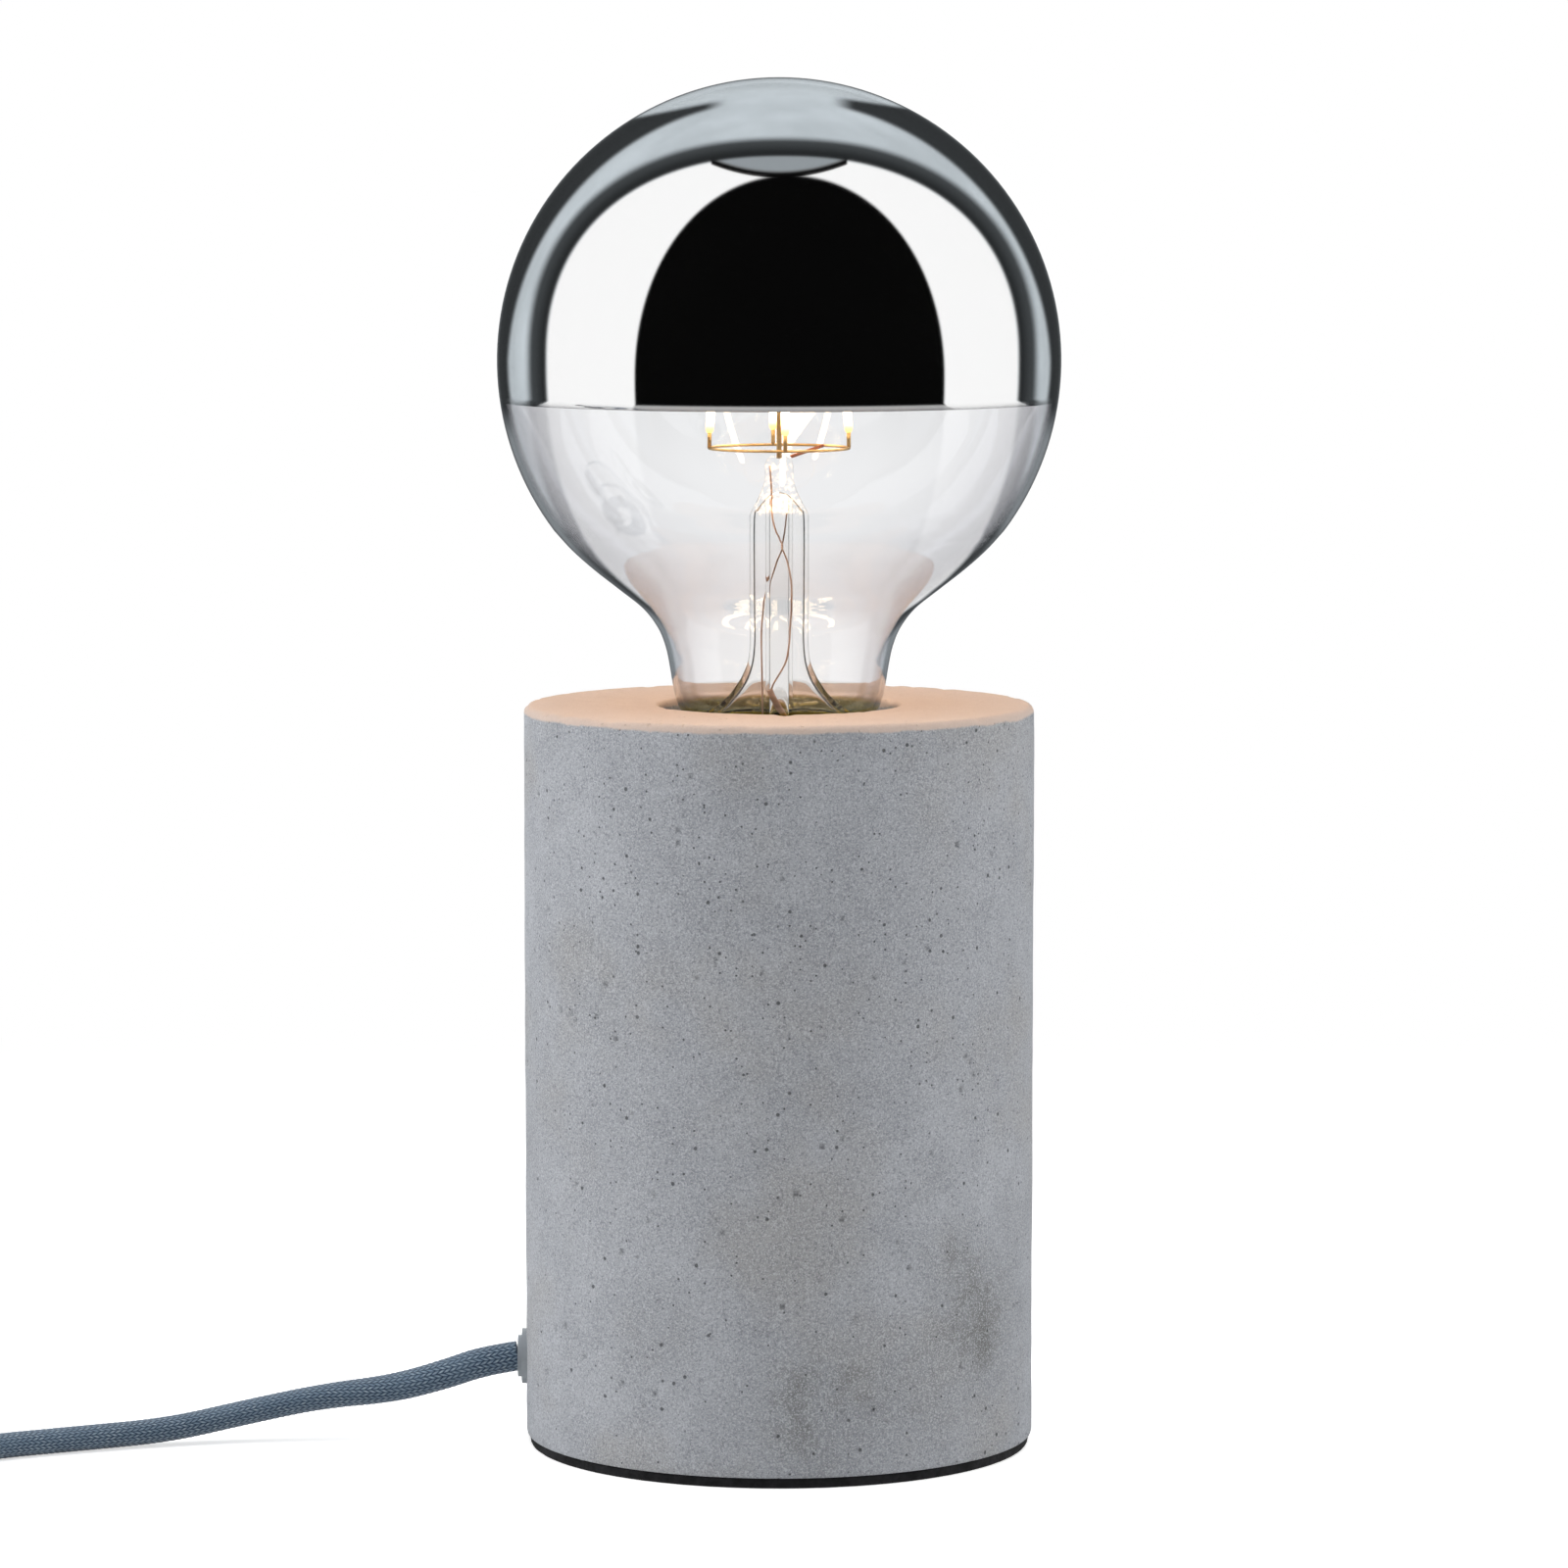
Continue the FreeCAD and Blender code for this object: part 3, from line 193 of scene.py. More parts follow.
def feed(skin, key, socket):
    skin.id_data.links.new(socket, skin.inputs[key])


def showInstead(shader):
    # the material shows this shader in place of the plain principled one
    tree = shader.id_data
    out = next(n for n in tree.nodes if n.bl_idname == "ShaderNodeOutputMaterial")
    tree.links.new(shader, out.inputs[0])


def mixShaders(share, a, b):
    return made("MixShader", {0: share, 1: a, 2: b})[0]


def put(tree, kind, values=None, **settings):
    # adds a node; a value may be a socket, which is then linked
    node = tree.nodes.new("ShaderNode" + kind)
    for key, value in settings.items():
        setattr(node, key, value)
    for key, value in (values or {}).items():
        if isinstance(value, bpy.types.NodeSocket):
            tree.links.new(value, node.inputs[key])
        else:
            node.inputs[key].default_value = value
    return node


def maths(operation, a, b=0.0):
    return made("Math", {0: a, 1: b}, operation=operation)[0]


def times(a, b):
    return maths("MULTIPLY", a, b)


def plus(a, b):
    return maths("ADD", a, b)


def minus(a, b):
    return maths("SUBTRACT", a, b)


def larger(a, b):
    return maths("MAXIMUM", a, b)


def between(share, a, b):
    # a plain number that goes from a to b as share goes from 0 to 1
    return made("Mix", {0: share, 2: a, 3: b})[0]


def axesOf(where):
    return made("SeparateXYZ", {0: where})


def from3d(where, point):
    # the distance between a place and a fixed point
    return made("VectorMath", {0: where, 1: point}, operation="DISTANCE")["Value"]


def ramp(value, low, high, start=0.0, end=1.0):
    # a smooth step from start to end as value goes from low to high
    values = {0: value, 1: low, 2: high, 3: start, 4: end}
    return made("MapRange", values, interpolation_type="SMOOTHSTEP")[0]


def blendColour(share, a, b):
    # a colour is three numbers or a socket
    a, b = (c if isinstance(c, bpy.types.NodeSocket) else (*c, 1) for c in (a, b))
    return made("Mix", {0: share, 6: a, 7: b}, data_type="RGBA")[2]


def place(tree):
    # object coordinates, which are metres in the lamp's own frame
    return put(tree, "TexCoord").outputs["Object"]


def grain(tree, scale, detail=4.0, rough=0.55, where=None):
    values = {"Vector": where or place(tree), "Scale": scale, "Detail": detail, "Roughness": rough}
    return put(tree, "TexNoise", values).outputs[0]


def bumped(skin, height, depth, strength=1.0):
    relief = made("Bump", {"Height": height, "Distance": depth, "Strength": strength})
    feed(skin, "Normal", relief[0])


def straight(red, green, blue):
    # an sRGB colour, 0 to 255, as the linear one that a shader takes
    out = []
    for c in (red, green, blue):
        c /= 255
        out.append(c / 12.92 if c <= 0.04045 else ((c + 0.055) / 1.055) ** 2.4)
    return tuple(out)


plainFinishes = {
    # name: colour, second colour, metal, roughness, grain size in mm, relief in mm
    "blackFoam": ((38, 38, 41), (24, 24, 26), 0.0, 0.95, 0.7, 0.12),
    "zincSteel": ((176, 178, 182), (140, 143, 150), 1.0, 0.34, 2.5, 0.004),
    "turnedBrass": ((214, 178, 104), (186, 144, 78), 1.0, 0.30, 1.5, 0.004),
    "blackThermoplastic": ((30, 30, 31), (22, 22, 23), 0.0, 0.45, 0.5, 0.02),
    "whiteCeramic": ((232, 228, 218), (214, 208, 196), 0.0, 0.40, 3.0, 0.03),
    "nickelPlate": ((196, 190, 178), (160, 152, 138), 1.0, 0.24, 1.8, 0.004),
    "capCement": ((204, 186, 84), (158, 140, 56), 0.0, 0.80, 0.8, 0.12),
    "blackGlass": ((20, 18, 24), (30, 26, 34), 0.0, 0.12, 2.0, 0.01),
    "tinnedSolder": ((200, 202, 205), (150, 152, 156), 1.0, 0.38, 0.9, 0.05),
    "copperWire": ((196, 122, 84), (150, 84, 56), 1.0, 0.32, 0.6, 0.003),
    "boardGreen": ((38, 92, 58), (26, 70, 44), 0.0, 0.42, 1.1, 0.01),
    "paleGrommet": ((172, 178, 182), (150, 156, 162), 0.0, 0.55, 0.8, 0.02),
    "gripNylon": ((206, 202, 190), (190, 186, 172), 0.0, 0.50, 0.9, 0.02),
    "brownInsulation": ((92, 56, 36), (78, 46, 30), 0.0, 0.45, 1.2, 0.01),
    "blueInsulation": ((44, 84, 150), (36, 70, 130), 0.0, 0.45, 1.2, 0.01),
    "tieWebbing": ((34, 36, 40), (22, 23, 26), 0.0, 0.85, 0.5, 0.1),
    "switchShell": ((52, 56, 60), (44, 47, 51), 0.0, 0.42, 0.45, 0.025),
    "rockerPlastic": ((40, 43, 46), (33, 35, 38), 0.0, 0.34, 0.6, 0.012),
    "sleeveRubber": ((40, 42, 45), (30, 32, 34), 0.0, 0.65, 0.6, 0.03),
    "plugShell": ((50, 54, 58), (42, 45, 49), 0.0, 0.46, 0.45, 0.03),
    "pinNickel": ((206, 204, 198), (176, 172, 164), 1.0, 0.20, 1.2, 0.003),
    "ringWire": ((240, 206, 146), (206, 164, 102), 0.6, 0.35, 0.7, 0.004),
    "leadWire": ((246, 208, 186), (222, 172, 142), 0.45, 0.38, 0.6, 0.003),
}


def plainFinish(name):
    # two tones in patches, a fine grain and a roughness that wanders
    colour, second, metal, rough, size, relief = plainFinishes[name]
    material, tree, skin = newMaterial(name, {"Metallic": metal})
    patches = ramp(grain(tree, 1 / (size * 6 * mm), 3), 0.35, 0.65)
    fine = grain(tree, 1 / (size * mm), 5, 0.6)
    tone = blendColour(patches, straight(*colour), straight(*second))
    tone = blendColour(ramp(fine, 0.3, 0.7, 0.0, 0.25), tone, straight(*second))
    feed(skin, "Base Color", tone)
    feed(skin, "Roughness", ramp(fine, 0.2, 0.8, rough - 0.08, rough + 0.1))
    bumped(skin, fine, relief * mm)
    return material


finish = {name: plainFinish(name) for name in plainFinishes}
print("plain finishes ready:", len(finish))

# camera, light and floor

shot = {
    "distance": 1.116,  # from the lamp's axis to the lens
    "height": 0.222,
    "pitch": 5.6,  # degrees down
    "focal": 151.9,
    "shiftX": 0.0031,
}


def makeCamera():
    camera = bpy.data.objects.new("camera", bpy.data.cameras.new("camera"))
    camera.location = (0, -shot["distance"], shot["height"])
    camera.rotation_euler = (radians(90 - shot["pitch"]), 0, 0)
    camera.data.lens = shot["focal"]
    camera.data.sensor_width = 36
    camera.data.sensor_fit = "HORIZONTAL"
    camera.data.shift_x = shot["shiftX"]
    camera.data.clip_start = 0.01
    camera.data.clip_end = 50
    scene.collection.objects.link(camera)
    scene.camera = camera


studio = {
    # outlines of what stands round the lamp: middle, half width, foot, top and fullness
    "darkRoom": (0.037, 0.547, -0.06, 0.652, 2.06),
    "panels": (0.012, 0.832, 0.0, 0.717, 2.3),
    "arch": (0.012, 0.898, 0.0, 0.78, 2.3),
    "below": 1.0,  # how far the outlines reach down
    "roomEdge": (0.99, 1.01),  # how softly one thing passes into the next
    "panelEdge": (0.994, 1.012),
    "archEdge": (0.985, 1.02),
    "tintEdge": (0.99, 1.02),
    "roomLight": 0.0025,
    "lowRoom": (-0.19, -0.42),  # heights over which the foot of the room grows light
    "lowRoomLight": 0.5,
    "panelLight": 1.04,
    "gapHalf": 0.24,  # the slit over the room, between the panels
    "gapSide": 0.005,
    "gapFoot": 0.660,
    "gapBow": 0.83,
    "gapLine": (-0.020, -0.014),
    "gapSlit": (-0.004, 0.012),
    "gapLight": 0.36,
    "archInner": (0.93, 0.995),
    "archLight": 0.022,
    "archOuterLight": 3.2,  # times the inner one
    "bandLight": 0.70,
    "bandCloud": (0.86, 1.05),
    "rimFrom": 0.956,  # where it is dark again at the sides
    "rimEdge": (-0.006, 0.01),
    "rimLean": 0.045,
    "rimSides": (0.17, 0.27),
    "rimLight": 0.045,
    "lowRim": (-0.15, -0.30),
    "lowRimLight": 0.3,
    "capSlope": 0.176,  # the grey cap ends the rim at the top
    "capLean": 0.025,
    "capEdge": (0.966, 0.950),
    "farEdge": (0.990, 0.998),
    "farLight": 0.15,
    "roomTint": (1.0, 0.99, 0.98),
    "panelTint": (0.87, 0.95, 1.0),
    "worldLight": 0.30,
    "cameraLift": 1.94,  # degrees that the lens stands above the bulb
}


def outlineShare(across, up, name):
    # 1 on the outline, less inside it
    middle, half, foot, top, fullness = studio[name]
    wide = maths("DIVIDE", maths("ABSOLUTE", minus(across, middle)), half)
    tall = maths("DIVIDE", minus(up, foot), top - foot)
    deep = maths("DIVIDE", minus(foot, up), studio["below"])
    tall = larger(tall, deep)
    both = plus(maths("POWER", wide, fullness), maths("POWER", tall, fullness))
    return maths("POWER", both, 1 / fullness)


def makeWorld():
    world = bpy.data.worlds.new("studio")
    scene.world = world
    world.use_nodes = True
    tree = world.node_tree
    tree.nodes.clear()
    where = put(tree, "TexCoord").outputs["Generated"]
    # the room is laid out as a ball shows it from the front: across and up, 0 to 1 at the ball's rim
    lift = radians(studio["cameraLift"])
    front, over = (0, -cos(lift), sin(lift)), (0, sin(lift), cos(lift))
    half = made("VectorMath", {0: where, 1: front}, operation="ADD")[0]
    half = made("VectorMath", {0: half}, operation="NORMALIZE")[0]
    across = axesOf(half)[0]
    up = made("VectorMath", {0: half, 1: over}, operation="DOT_PRODUCT")["Value"]
    reach = maths("SQRT", plus(times(across, across), times(up, up)))
    side = maths("ABSOLUTE", across)

    # from the middle out: dark room, white panels with a slit, dark arch, grey band, dark rim
    dim = ramp(up, *studio["lowRoom"], studio["roomLight"], studio["lowRoomLight"])
    room = outlineShare(across, up, "darkRoom")
    level = between(ramp(room, *studio["roomEdge"]), dim, studio["panelLight"])
    gapLow = plus(times(times(side, side), studio["gapBow"]), studio["gapFoot"])
    above = minus(up, gapLow)
    near = ramp(side, studio["gapHalf"] + studio["gapSide"], studio["gapHalf"] - studio["gapSide"])
    line = times(near, ramp(above, *studio["gapLine"]))
    level = between(line, level, studio["roomLight"])
    slit = times(near, ramp(above, *studio["gapSlit"]))
    level = between(slit, level, studio["gapLight"])
    arch, archLight = outlineShare(across, up, "arch"), studio["archLight"]
    archTone = ramp(arch, *studio["archInner"], archLight, archLight * studio["archOuterLight"])
    panels = outlineShare(across, up, "panels")
    level = between(ramp(panels, *studio["panelEdge"]), level, archTone)
    # the rim is dark at the sides only and ends under a grey cap
    cap = plus(up, times(side, studio["capSlope"]))
    cap = minus(cap, times(across, studio["capLean"]))
    rim = plus(reach, times(larger(up, 0.0), studio["rimLean"]))
    rim = ramp(rim, *(studio["rimFrom"] + d for d in studio["rimEdge"]))
    rim = times(rim, ramp(cap, *studio["capEdge"]))
    rim = times(rim, ramp(side, *studio["rimSides"]))
    cloud = grain(tree, 3.0, 2, 0.5, where)
    band = ramp(cloud, 0.3, 0.7, *(studio["bandLight"] * share for share in studio["bandCloud"]))
    shade = ramp(up, *studio["lowRim"], studio["rimLight"], studio["lowRimLight"])
    level = between(ramp(arch, *studio["archEdge"]), level, between(rim, band, shade))
    # straight behind the lamp everything meets in one soft grey
    level = between(ramp(reach, *studio["farEdge"]), level, studio["farLight"])
    bluish = larger(slit, ramp(panels, *studio["tintEdge"]))
    tint = blendColour(bluish, studio["roomTint"], studio["panelTint"])
    room = put(tree, "Background", {0: tint, 1: level}).outputs[0]
    plain = put(tree, "Background", {0: (1, 1, 1, 1), 1: studio["worldLight"]}).outputs[0]
    white = put(tree, "Background", {0: (1, 1, 1, 1), 1: 1.0}).outputs[0]
    mixed = mixShaders(straightSeen(tree), plain, white)
    put(tree, "OutputWorld", {0: mixShaders(thrownBack(tree), mixed, room)})


def straightSeen(tree):
    # 1 for a ray from the lens, also through glass
    path = put(tree, "LightPath").outputs
    return larger(path["Is Camera Ray"], path["Is Transmission Ray"])


def thrownBack(tree):
    # 1 for a ray that a mirror or glass has thrown back, even if it has since passed through glass
    path = put(tree, "LightPath").outputs
    thrown = maths("GREATER_THAN", path["Glossy Depth"], 0.5)
    return times(thrown, minus(1.0, path["Is Diffuse Ray"]))


lamps = {
    # name: place, aimed at, size, watts, colour
    "leftPanel": ((-1.15, 0.0, 0.55), (0, 0, 0.1), (1.0, 1.3), 12.0, (1, 1, 1)),
    "rightPanel": ((1.15, 0.0, 0.55), (0, 0, 0.1), (1.0, 1.3), 7.6, (1, 1, 1)),
    "topPanel": ((0, -0.1, 1.4), (0, 0, 0.1), (1.1, 1.1), 10.5, (1, 1, 1)),
}


def hiddenLamp(name, shape, size, watts, colour, where):
    # a lamp that lights things, and shows neither itself nor its reflection
    data = bpy.data.lights.new(name, "AREA")
    data.shape = shape
    data.size, data.size_y = size
    data.energy = watts
    data.color = colour
    lamp = bpy.data.objects.new(name, data)
    lamp.location = where
    lamp.visible_glossy = lamp.visible_camera = lamp.visible_transmission = False
    scene.collection.objects.link(lamp)
    return lamp


def makeLamps():
    for name, (where, target, size, watts, colour) in lamps.items():
        lamp = hiddenLamp(name, "RECTANGLE", size, watts, colour, where)
        lamp.rotation_euler = (Vector(target) - Vector(where)).to_track_quat("-Z", "Y").to_euler()


glow = {"size": (0.07, 0.07), "watts": 0.033, "colour": (1.0, 0.73, 0.52), "place": (0, 0, 0.174)}


def makeGlow(receivers):
    # what the filaments throw down on the base; only the pieces named take it
    size, watts, colour, where = (glow[key] for key in ("size", "watts", "colour", "place"))
    lamp = hiddenLamp("filamentGlow", "DISK", size, watts, colour, where)
    lit = bpy.data.collections.new("litByFilaments")
    for piece in receivers:
        lit.objects.link(piece)
    lamp.light_linking.receiver_collection = lit
    lamp.light_linking.blocker_collection = lit


ground = {
    "tone": 0.86,
    "ownLight": 0.62,  # near the lamp it takes the lamp's shadow, far off it is plain white
    "behind": (0.08, 0.5),  # metres over which it goes white
    "away": (0.38, 0.75),
    "middle": (-0.12, 0, 0),
    "front": -3.0,
    "bendFrom": 2.2,
    "bend": 1.2,
    "half": 4.0,
    "top": 4.0,
}


def makeFloor():
    # floor and backdrop in one sweep, rising far behind
    tone, bend = ground["tone"], ground["bend"]
    fixed = {"Base Color": (tone, tone, tone, 1), "Roughness": 0.9, "Specular IOR Level": 0.1}
    material, tree, skin = newMaterial("paleFloor", fixed)
    spot = place(tree)
    behind = ramp(axesOf(spot)[1], *ground["behind"])
    away = larger(behind, ramp(from3d(spot, ground["middle"]), *ground["away"]))
    lit = put(tree, "Emission", {0: (1, 1, 1, 1), 1: ground["ownLight"]}).outputs[0]
    near = put(tree, "AddShader", {0: skin.outputs[0], 1: lit}).outputs[0]
    far = put(tree, "Emission", {0: (1, 1, 1, 1), 1: 1.0}).outputs[0]
    mixed = mixShaders(straightSeen(tree), skin.outputs[0], mixShaders(away, near, far))
    # the mirror shows the room all the way down
    gone = put(tree, "BsdfTransparent", {0: (1, 1, 1, 1)}).outputs[0]
    showInstead(mixShaders(thrownBack(tree), mixed, gone))
    profile = [(ground["front"], 0), (0.0, 0), (ground["bendFrom"], 0)]
    for k in range(1, 11):
        a = radians(9 * k)
        profile.append((ground["bendFrom"] + bend * sin(a), bend - bend * cos(a)))
    profile.append((ground["bendFrom"] + bend, ground["top"]))
    points = [(x, y, z) for y, z in profile for x in (-ground["half"], ground["half"])]
    faces = [(2 * k, 2 * k + 1, 2 * k + 3, 2 * k + 2) for k in range(len(profile) - 1)]
    floor = newPiece("floor", points, faces)
    floor.data.materials.append(material)
    floor.visible_glossy = False


scene.view_settings.view_transform = "Standard"
makeCamera()
makeWorld()
makeLamps()
makeFloor()
print("camera, light and floor ready")

# the cord on the table

cordFacts = {
    "width": 5.2,  # a flat two-core lead in a woven sleeve
    "height": 4.3,
    "carriers": 24,  # yarns of the braid
    "stitch": 1.06,  # mm from one stitch to the next
    "slant": 0.9,
    "stagger": 0.25,
    "crown": 0.7,  # powers that shape a yarn along and across
    "belly": 0.5,
    "relief": 0.11,
    "meanRelief": 0.6,
    "under": 0.06,
    "seenLength": 125.0,  # mm that the camera sees, woven finer
    "fineStep": 0.26,
    "fineSides": 48,
    "step": 1.0,
    "restStep": 1.1,
    "sides": 24,
    "turnFrom": 4.0,  # mm from an end where the cord starts to turn on edge or flat
    "leadTurn": 34.0,
    "linkTurn": 28.0,
    "coilEnds": 1262.0,  # mm from the switch to where the cord leaves the coil
    "tailTurn": 24.0,
}

# points in mm: out of the bush, over the floor and round to the switch
leadRoute = [
    *[(-44.6, 0, 14.4), (-50.5, 0, 13.5), (-57, 0, 11.2), (-66, 0, 8.7), (-78, -1, 7.6), (-91, -2, 5.0)],
    *[(-104, -5, 2.5), (-118, -10.5, 2.2), (-135, -19, 2.2), (-152, -36, 2.2), (-178, -44.4, 2.2)],
    *[(-210, -44.9, 2.2), (-241, -45, 2.2), (-269, -43.4, 2.2), (-294.8, -38, 2.2), (-315, -29, 2.2)],
    *[(-328.3, -15.7, 2.2), (-334.6, -2.1, 2.2), (-334.6, 11.4, 3.2), (-327.9, 23.05, 5.6)],
    *[(-316.2, 29.8, 7.5), (-302.7, 29.8, 7.5)],
]
linkRoute = [(-232.7, 29.8, 7.5), (-221.7, 29.8, 7.4), (-211.7, 32.2, 3.6), (-203.2, 36.4, 2.7)]
tailRoute = [
    *[(-196.4, -34.9, 8.2), (-213.4, -37.6, 2.7), (-228.3, -35.6, 2.3), (-240.4, -26.5, 2.6)],
    *[(-245.6, -12.9, 6.6), (-242.4, 0, 14.0), (-232.2, 9.0, 18.6), (-219, 12.5, 18.6)],
]
coil = {
    "centre": (-179, 5),
    "outer": 39.0,  # radius where the cord comes in
    "startAngle": 118.0,  # degrees, where it comes in
    "pitch": 5.75,
    "turnsDown": 3.0,  # turns on the floor, winding in
    "climb": 0.5,
    "climbDip": 0.125,
    "turnsUp": 3.078,  # turns on top, winding out again
    "low": 2.7,  # the turns lie on edge
    "high": 8.6,
    "perTurn": 16,
}


def coilPoints():
    (x, y), pitch, down, climb = (coil[key] for key in ("centre", "pitch", "turnsDown", "climb"))
    inner = coil["outer"] - pitch * down
    total = down + climb + coil["turnsUp"]
    steps = round(total * coil["perTurn"])
    points = []
    for k in range(steps + 1):
        turn = total * k / steps
        up = (turn - down) / climb
        if up <= 0:
            radius, z = coil["outer"] - pitch * turn, coil["low"]
        elif up < 1:
            radius = inner - pitch * coil["climbDip"] * sin(pi * up)
            z = coil["low"] + (coil["high"] - coil["low"]) * (3 * up * up - 2 * up**3)
        else:
            radius, z = inner + pitch * (turn - down - climb), coil["high"]
        angle = radians(coil["startAngle"]) - tau * turn
        points.append((x + radius * cos(angle), y + radius * sin(angle), z))
    return points


def cordLine(name, route):
    # the smooth line that a route gives, read back from its own NURBS curve, in metres
    data = bpy.data.curves.new(name, "CURVE")
    data.dimensions = "3D"
    spline = data.splines.new("NURBS")
    spline.points.add(len(route) - 1)
    for point, where in zip(spline.points, route):
        point.co = (*(c * mm for c in where), 1)
    spline.order_u = 3
    spline.use_endpoint_u = True
    spline.resolution_u = 14
    holder = bpy.data.objects.new(name, data)
    scene.collection.objects.link(holder)
    mesh = bpy.data.meshes.new_from_object(holder.evaluated_get(bpy.context.evaluated_depsgraph_get()))
    line = [v.co.copy() for v in mesh.vertices]
    bpy.data.meshes.remove(mesh)
    bpy.data.objects.remove(holder)
    bpy.data.curves.remove(data)
    return line


def evenly(line, step):
    # points a step apart along a line; step may change with the distance
    out, places, gone, wanted = [line[0]], [0.0], 0.0, step(0.0)
    for a, b in zip(line, line[1:]):
        long = (b - a).length
        while gone + long >= wanted:
            out.append(a.lerp(b, (wanted - gone) / long))
            places.append(wanted)
            wanted += step(wanted)
        gone += long
    if gone - places[-1] > 1e-5:
        out.append(line[-1])
        places.append(gone)
    return out, places


def stitchHeight(around, along):
    # how far a yarn stands out of the sleeve, 0 to 1; rows of stitches lean left and right in turn
    row = around * cordFacts["carriers"]
    odd, across = int(row) % 2, row % 1
    slant = cordFacts["slant"] * (2 * odd - 1) * (across - 0.5)
    place = along / cordFacts["stitch"] + slant + cordFacts["stagger"] * odd
    crown, belly = sin(pi * (place % 1)), sin(pi * across)
    return crown ** cordFacts["crown"] * belly ** cordFacts["belly"]


def wovenTube(name, line, segments, step, twist, fineUntil=0.0):
    path, along = evenly(line, step)
    points, uvs, count = [], [], len(path)
    rows = [k / segments + 0.5 / cordFacts["carriers"] for k in range(segments + 1)]
    for i, (p, s) in enumerate(zip(path, along)):
        ahead = (path[min(i + 1, count - 1)] - path[max(i - 1, 0)]).normalized()
        side = ahead.cross(Vector((0, 0, 1))).normalized()
        up = side.cross(ahead)
        turn = twist(s / mm)
        wide = side * cos(turn) + up * sin(turn)
        thin = up * cos(turn) - side * sin(turn)
        for k in range(segments):
            angle = tau * k / segments
            proud = -cordFacts["under"]
            if s < fineUntil:
                proud += (stitchHeight(rows[k], s / mm) - cordFacts["meanRelief"]) * cordFacts["relief"]
            a, b = cordFacts["width"] / 2 + proud, cordFacts["height"] / 2 + proud
            points.append(p + (wide * a * cos(angle) + thin * b * sin(angle)) * mm)
    for s, t in zip(along, along[1:]):
        low, high = s / mm / cordFacts["stitch"], t / mm / cordFacts["stitch"]
        for u, v in zip(rows, rows[1:]):
            uvs += [(u, low), (v, low), (v, high), (u, high)]
    uvs += [(0.0, 0.0)] * segments * 2
    piece = newPiece(name, points, tubeFaces(count, segments))
    layer = piece.data.uv_layers.new(name="weave")
    for corner, uv in enumerate(uvs):
        layer.data[corner].uv = uv
    return piece, path


def textileFinish():
    # a blue-grey braid: a painted glint makes the yarn crowns pale, painted shade darkens the gaps between
    # the stitches
    fixed = {"Roughness": 0.82, "Sheen Weight": 0.25, "Sheen Roughness": 0.5, "Specular IOR Level": 0.3}
    material, tree, skin = newMaterial("textileSleeve", fixed)
    axes = axesOf(put(tree, "UVMap", uv_map="weave").outputs[0])
    row = times(axes[0], float(cordFacts["carriers"]))
    odd = maths("MODULO", maths("FLOOR", row), 2.0)
    lean = minus(times(odd, 2.0), 1.0)
    across = maths("FRACT", row)
    slant = times(lean, times(minus(across, 0.5), cordFacts["slant"]))
    along = plus(plus(axes[1], slant), times(odd, cordFacts["stagger"]))
    crown = maths("SINE", times(maths("FRACT", along), pi))
    belly = maths("SINE", times(across, pi))
    crown, belly = (maths("POWER", h, cordFacts[p]) for h, p in ((crown, "crown"), (belly, "belly")))
    height = times(crown, belly)
    yarn = grain(tree, 900, 3)
    patch = grain(tree, 160, 2)
    dark, mid, pale = straight(48, 64, 84), straight(112, 133, 152), straight(176, 190, 200)
    # painted shade: the low gaps between the stitches are darker
    tone = blendColour(ramp(height, 0.25, 0.72), dark, mid)
    # painted highlight: a pale glint on the yarn crowns
    glint = times(ramp(height, 0.7, 1.0), ramp(yarn, 0.35, 0.7))
    tone = blendColour(glint, tone, pale)
    tone = blendColour(ramp(patch, 0.35, 0.7, 0.0, 0.18), tone, mid)
    feed(skin, "Base Color", tone)
    bumped(skin, plus(height, times(yarn, 0.15)), 0.12 * mm, 0.8)
    return material


def partWay(s, start, length):
    # 0 before the start, 1 once the length has gone by
    return min(max((s - start) / length, 0), 1)


def makeCords():
    material = textileFinish()
    fine, start = cordFacts["seenLength"] * mm, cordFacts["turnFrom"]

    def leadStep(s):
        return cordFacts["fineStep" if s < fine else "step"] * mm

    def leadTwist(s):
        # on edge at the exit, flat on the floor a hand's width on
        return radians(90) * (1 - partWay(s, start, cordFacts["leadTurn"]))

    line = cordLine("leadLine", leadRoute)
    lead, path = wovenTube("cordLead", line, cordFacts["fineSides"], leadStep, leadTwist, fine)
    dress(lead, material, "lamp", "cord_textile", "cord_lead")

    def restTwist(s):
        # flat at both ends, on edge in the coil
        into = partWay(s, start, cordFacts["linkTurn"])
        outOf = partWay(s, cordFacts["coilEnds"], cordFacts["tailTurn"])
        return radians(90) * (into - outOf)

    line = cordLine("restLine", linkRoute + coilPoints() + tailRoute)
    step = cordFacts["restStep"] * mm
    rest, path = wovenTube("cordRest", line, cordFacts["sides"], lambda s: step, restTwist)
    dress(rest, material, "lamp", "cord_textile", "cord_link", "cord_coil", "cord_tail")


tie = {
    "angle": -135.0,  # degrees round the coil
    "inner": 18.6,  # from the coil's centre
    "outer": 37.5,
    "low": 0.75,
    "high": 11.35,
    "wall": 0.6,
    "width": 8.0,
    "corner": 2.2,
    "section": ((-0.5, 0.0), (-0.47, 0.3), (0.47, 0.3), (0.5, 0.0), (0.47, -0.3), (-0.47, -0.3)),
    "over": 0.1,  # least height over the floor
}


